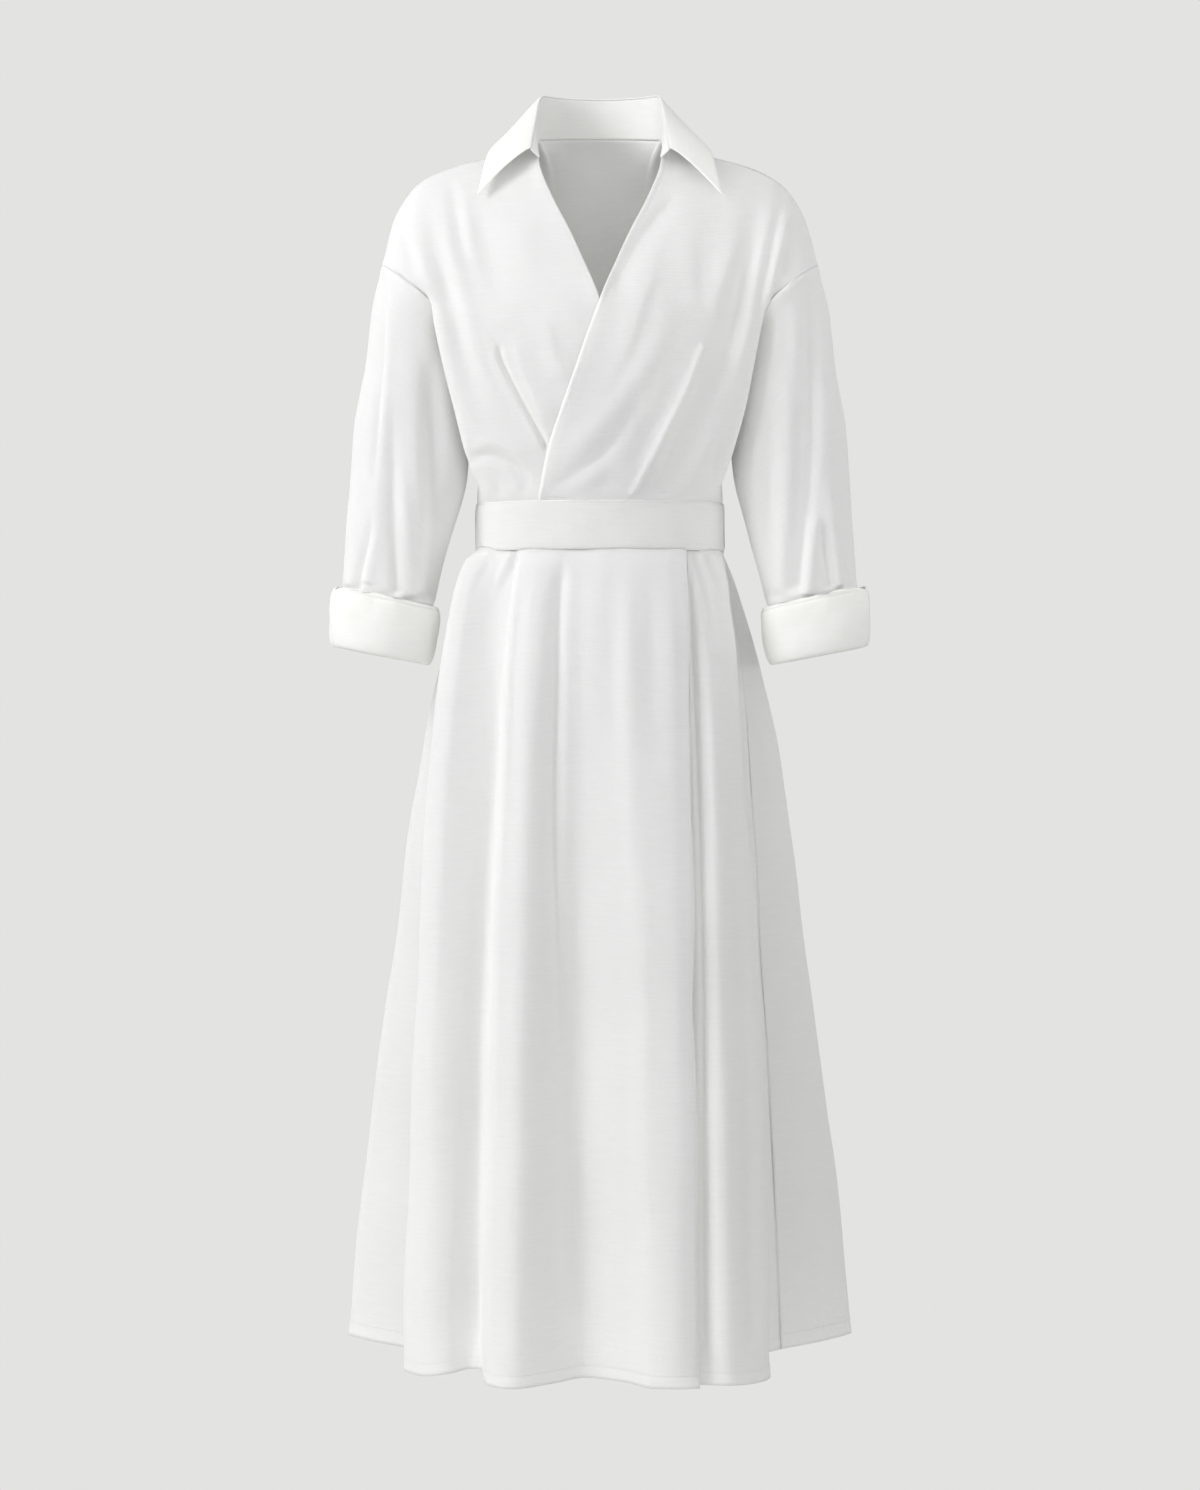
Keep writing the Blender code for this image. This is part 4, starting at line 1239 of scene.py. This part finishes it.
# waist is the line's place on the waist ring in degrees from centre front,
# inset is how far behind the ring the cloth starts there, rise is how much
# higher than the hem's lowest point it ends, and early below 1 spreads sooner.
FoldLine = namedtuple("FoldLine", "waist inset hem_x hem_y rise early", defaults=(1.0,))
SKIRT_FRONT = [
    FoldLine(-94, 0, -186, 22, 10),
    FoldLine(-86, 0, -163, -6, 6),
    FoldLine(-78, 0, -182, -44, 4, 0.62),
    FoldLine(-72, 0, -193, -86, 3, 0.52),
    FoldLine(-64, 0, -174, -124, 2, 0.68),
    FoldLine(-56, 0, -150, -135, 5),
    FoldLine(-48, 2, -126, -124, 9),
    FoldLine(-43, 3, -113, -136, 9),
    FoldLine(-41, 1, -110, -176, 3),
    FoldLine(-38, 0, -104, -195, 1),
    FoldLine(-30, 0, -82, -207, 0),
    FoldLine(-22, 1, -46, -188, 3),
    FoldLine(-12, 2, -14, -167, 6),
    FoldLine(4, 0, 24, -184, 4),
    FoldLine(18, 0, 52, -203, 0),
    FoldLine(32, 0, 76, -207, 0),
    FoldLine(43.2, 0, 91.5, -204, 0),
    FoldLine(44.6, 0.9, 94, -200.5, 0),
    FoldLine(43.2, 1.8, 91, -197.5, 0),
    FoldLine(38.0, 2.0, 75, -199, 0),
    FoldLine(36.6, 2.9, 72, -197, 1),
    FoldLine(38.0, 3.8, 75, -195.5, 1),
    FoldLine(45.5, 3.8, 98, -191, 2),
    FoldLine(51, 2.4, 121, -196, 2),
    FoldLine(58, 0, 144, -179, 1),
    FoldLine(66, 0, 162, -146, 1, 0.9),
    FoldLine(73, 0, 167, -102, 2, 0.85),
    FoldLine(80, 0, 157, -62, 4, 0.9),
    FoldLine(87, 0, 152, -22, 7),
    FoldLine(94, 0, 182, 16, 11),
]
SKIRT_BACK = [
    FoldLine(94, 0, 182, 16, 11),
    FoldLine(98, 0, 226, 42, 16),
    FoldLine(103, 0, 256, 80, 20),
    FoldLine(110, 0, 240, 118, 15),
    FoldLine(118, 0, 192, 134, 8),
    FoldLine(127, 0, 158, 152, 3),
    FoldLine(136, 0, 146, 186, 0),
    FoldLine(146, 0, 104, 202, 0),
    FoldLine(157, 0, 62, 184, 3),
    FoldLine(168, 0, 34, 192, 1),
    FoldLine(178, 0, 4, 208, 0),
    FoldLine(189, 0, -34, 196, 2),
    FoldLine(200, 0, -66, 180, 4),
    FoldLine(211, 0, -98, 196, 0),
    FoldLine(222, 0, -140, 188, 0),
    FoldLine(232, 0, -160, 156, 3),
    FoldLine(241, 0, -186, 136, 8),
    FoldLine(250, 0, -238, 120, 14),
    FoldLine(257, 0, -256, 82, 18),
    FoldLine(262, 0, -230, 48, 15),
    FoldLine(266, 0, -186, 22, 10),
]

# %% Skirt folds and panels
SKIRT_FRONT_FOLDS = [
    Fold(((-78, -403), (-84, -414), (-93, -430), (-105, -448)), 4, 5, -3.0, 0.05, 0.5),
    Fold(((-86, -403), (-96, -426), (-112, -452)), 5, 5, 2.4, 0.05, 0.5),
    Fold(((-104, -403), (-118, -430), (-130, -452)), 5, 5, -1.6, 0.05, 0.5),
    Fold(((-84, -420), (-88, -480), (-92, -560), (-98, -700), (-104, -900)),
         9, 6, 3.4, 0.25, 0.5),
    Fold(((-109, -600), (-114, -760), (-119, -900), (-122, -1050), (-123, -1212)),
         28, 7, -9.0, 0.5, 0.1),
    Fold(((-94, -560), (-98, -700), (-104, -900), (-109, -1050), (-112, -1212)),
         6, 8, 3.4, 0.4, 0.1),
    Fold(((-60, -404), (-60, -470), (-66, -560), (-70, -680), (-74, -820)),
         14, 10, 3.0, 0.3, 0.5),
    Fold(((-34, -404), (-39, -440), (-41, -500), (-42, -600), (-42, -700), (-36, -850),
          (-28, -1000)), 8, 6, -6.5, 0.2, 0.5),
    Fold(((-30, -560), (-30, -700), (-28, -850), (-24, -1000), (-18, -1212)),
         24, 13, -5.0, 0.6, 0.1),
    Fold(((-2, -404), (-6, -470), (-4, -600)), 10, 10, 1.4, 0.5, 0.5),
    Fold(((12, -404), (12, -470), (10, -560), (8, -660)), 9, 9, -1.6, 0.45, 0.5),
    Fold(((26, -404), (27, -480), (28, -560), (31, -700), (34, -860)), 10, 10, 3.4, 0.3, 0.5),
    Fold(((46, -404), (50, -470), (52, -540), (54, -660)), 10, 9, -2.6, 0.4, 0.5),
    Fold(((66, -404), (69, -470), (72, -560), (74, -700)), 9, 9, 1.6, 0.4, 0.5),
    Fold(((83, -403), (88, -500), (92, -640), (94, -800), (96, -1000), (97, -1212)),
         8, 8, 2.0, 0.1, 0.05),
]
RIGHT_LAYER_FOLDS = [
    Fold(((87, -403), (91, -500), (96, -640), (99, -760), (100, -900), (100, -1212)),
         3.0, 3.0, -2.0, 0.1, 0.05),
    Fold(((91, -404), (103, -450), (111, -500), (116, -570)), 5, 5, -2.6, 0.05, 0.5),
    Fold(((96, -404), (109, -446), (119, -490)), 4.5, 4.5, 2.2, 0.05, 0.5),
    Fold(((102, -404), (116, -440), (128, -476)), 4.5, 4.5, -2.2, 0.05, 0.5),
    Fold(((108, -404), (121, -430), (132, -456)), 4, 4, 1.8, 0.05, 0.5),
    Fold(((100, -440), (107, -520), (111, -620), (113, -760), (114, -900)),
         9, 14, 4.2, 0.3, 0.5),
    Fold(((112, -800), (114, -900), (115, -1050), (116, -1212)), 10, 15, 3.6, 0.5, 0.1),
    Fold(((128, -620), (136, -740), (143, -900), (147, -1050), (149, -1212)),
         8, 7, -3.4, 0.4, 0.1),
    Fold(((142, -640), (150, -760), (154, -900), (160, -1050), (164, -1190)),
         6, 5, 4.0, 0.4, 0.1),
    Fold(((122, -480), (130, -560), (138, -680), (144, -800)), 9, 9, -4.0, 0.3, 0.5),
]
SKIRT_BACK_FOLDS = [
    Fold(((-94, -404), (-104, -450), (-112, -500)), 6, 6, -3.0, 0.05, 0.5),
    Fold(((-76, -404), (-84, -460), (-92, -540)), 7, 7, 3.0, 0.05, 0.5),
    Fold(((-54, -404), (-58, -470), (-64, -560)), 8, 8, -3.4, 0.05, 0.5),
    Fold(((-28, -404), (-30, -480), (-34, -600)), 9, 9, 3.2, 0.05, 0.5),
    Fold(((-4, -404), (-4, -470), (-6, -560)), 8, 8, -3.0, 0.05, 0.5),
    Fold(((22, -404), (24, -480), (26, -600)), 9, 9, 3.4, 0.05, 0.5),
    Fold(((48, -404), (52, -466), (58, -550)), 8, 8, -3.2, 0.05, 0.5),
    Fold(((72, -404), (80, -460), (88, -540)), 7, 7, 2.8, 0.05, 0.5),
    Fold(((92, -404), (102, -450), (110, -500)), 6, 6, -2.8, 0.05, 0.5),
]
PLEAT_EDGE = 16.4            # place in the table where the top layer turns under
PLEAT_OUT = 21.2             # and where the layer beneath comes out from it
HEM_TURN = 9.0               # height of the narrow rolled hem
SKIRT_INSET = 0.5            # how far its top lies inside the band's line
FOLDS_FADE = 10.0            # height below the band over which the folds come in
RUMPLE_FADE = 120.0


def skirt_grid(lines, columns, rows):
    """Worn points of a skirt panel, rows from the hem up to the waist."""
    share_up = np.linspace(0.0, 1.0, rows) ** 1.12
    points = np.empty((rows, len(lines), 3))
    top = BAND_BOTTOM + TUCK_UNDER
    for index, line in enumerate(lines):
        bottom = HEM + line.rise
        z = bottom + (top - bottom) * share_up
        share = read(GROWTH, z) ** line.early
        turn = radians(line.waist)
        depth = WAIST_DEPTH if cos(turn) > 0 else WAIST_BACK
        x = (WAIST_WIDTH - SKIRT_INSET - line.inset) * sin(turn)
        y = -(depth - SKIRT_INSET - line.inset) * cos(turn)
        points[:, index, 0] = x + (line.hem_x - x) * share
        points[:, index, 1] = y + (line.hem_y - y) * share
        points[:, index, 2] = z
    places = np.linspace(0.0, len(lines) - 1.0, columns)
    return np.array([smooth(row, places) for row in points])


def make_skirt(name, node, lines, columns, rows, seed):
    points = skirt_grid(lines, columns, rows)
    up = cut_sizes(points)[1]
    if node == "skirt_front":
        line = np.linspace(0.0, len(lines) - 1.0, columns)[None, :]
        height = (folds(points[..., 0], points[..., 2], SKIRT_FRONT_FOLDS)
                  * ease((PLEAT_EDGE - line) / 0.5))
        height += (folds(points[..., 0], points[..., 2], RIGHT_LAYER_FOLDS)
                   * ease((line - PLEAT_OUT + 0.5) / 0.5))
    else:
        behind = ease(points[..., 1] / 30.0)
        height = folds(points[..., 0], points[..., 2], SKIRT_BACK_FOLDS) * behind
    below = BAND_BOTTOM - points[..., 2]
    height *= ease(below / FOLDS_FADE)
    height += rumpled(points, size=110.0, height=3.0, seed=seed) * ease(below / RUMPLE_FADE)
    height += turned_edge(up, HEM_TURN, height=0.6)
    out = normals_of(points)
    points = points + out * height[:, :, None]
    fold = np.argmin(np.abs(up[:, columns // 2] - HEM_TURN)) + 1
    stitch_along(points[fold], out[fold], lift=0.45)
    sew_panel(name, points, node, SINGLE_CLOTH)


make_skirt("skirt_front_poplin", "skirt_front", SKIRT_FRONT, columns=280, rows=130, seed=61)
make_skirt("skirt_back_poplin", "skirt_back", SKIRT_BACK, columns=200, rows=110, seed=63)

sew_stitches()
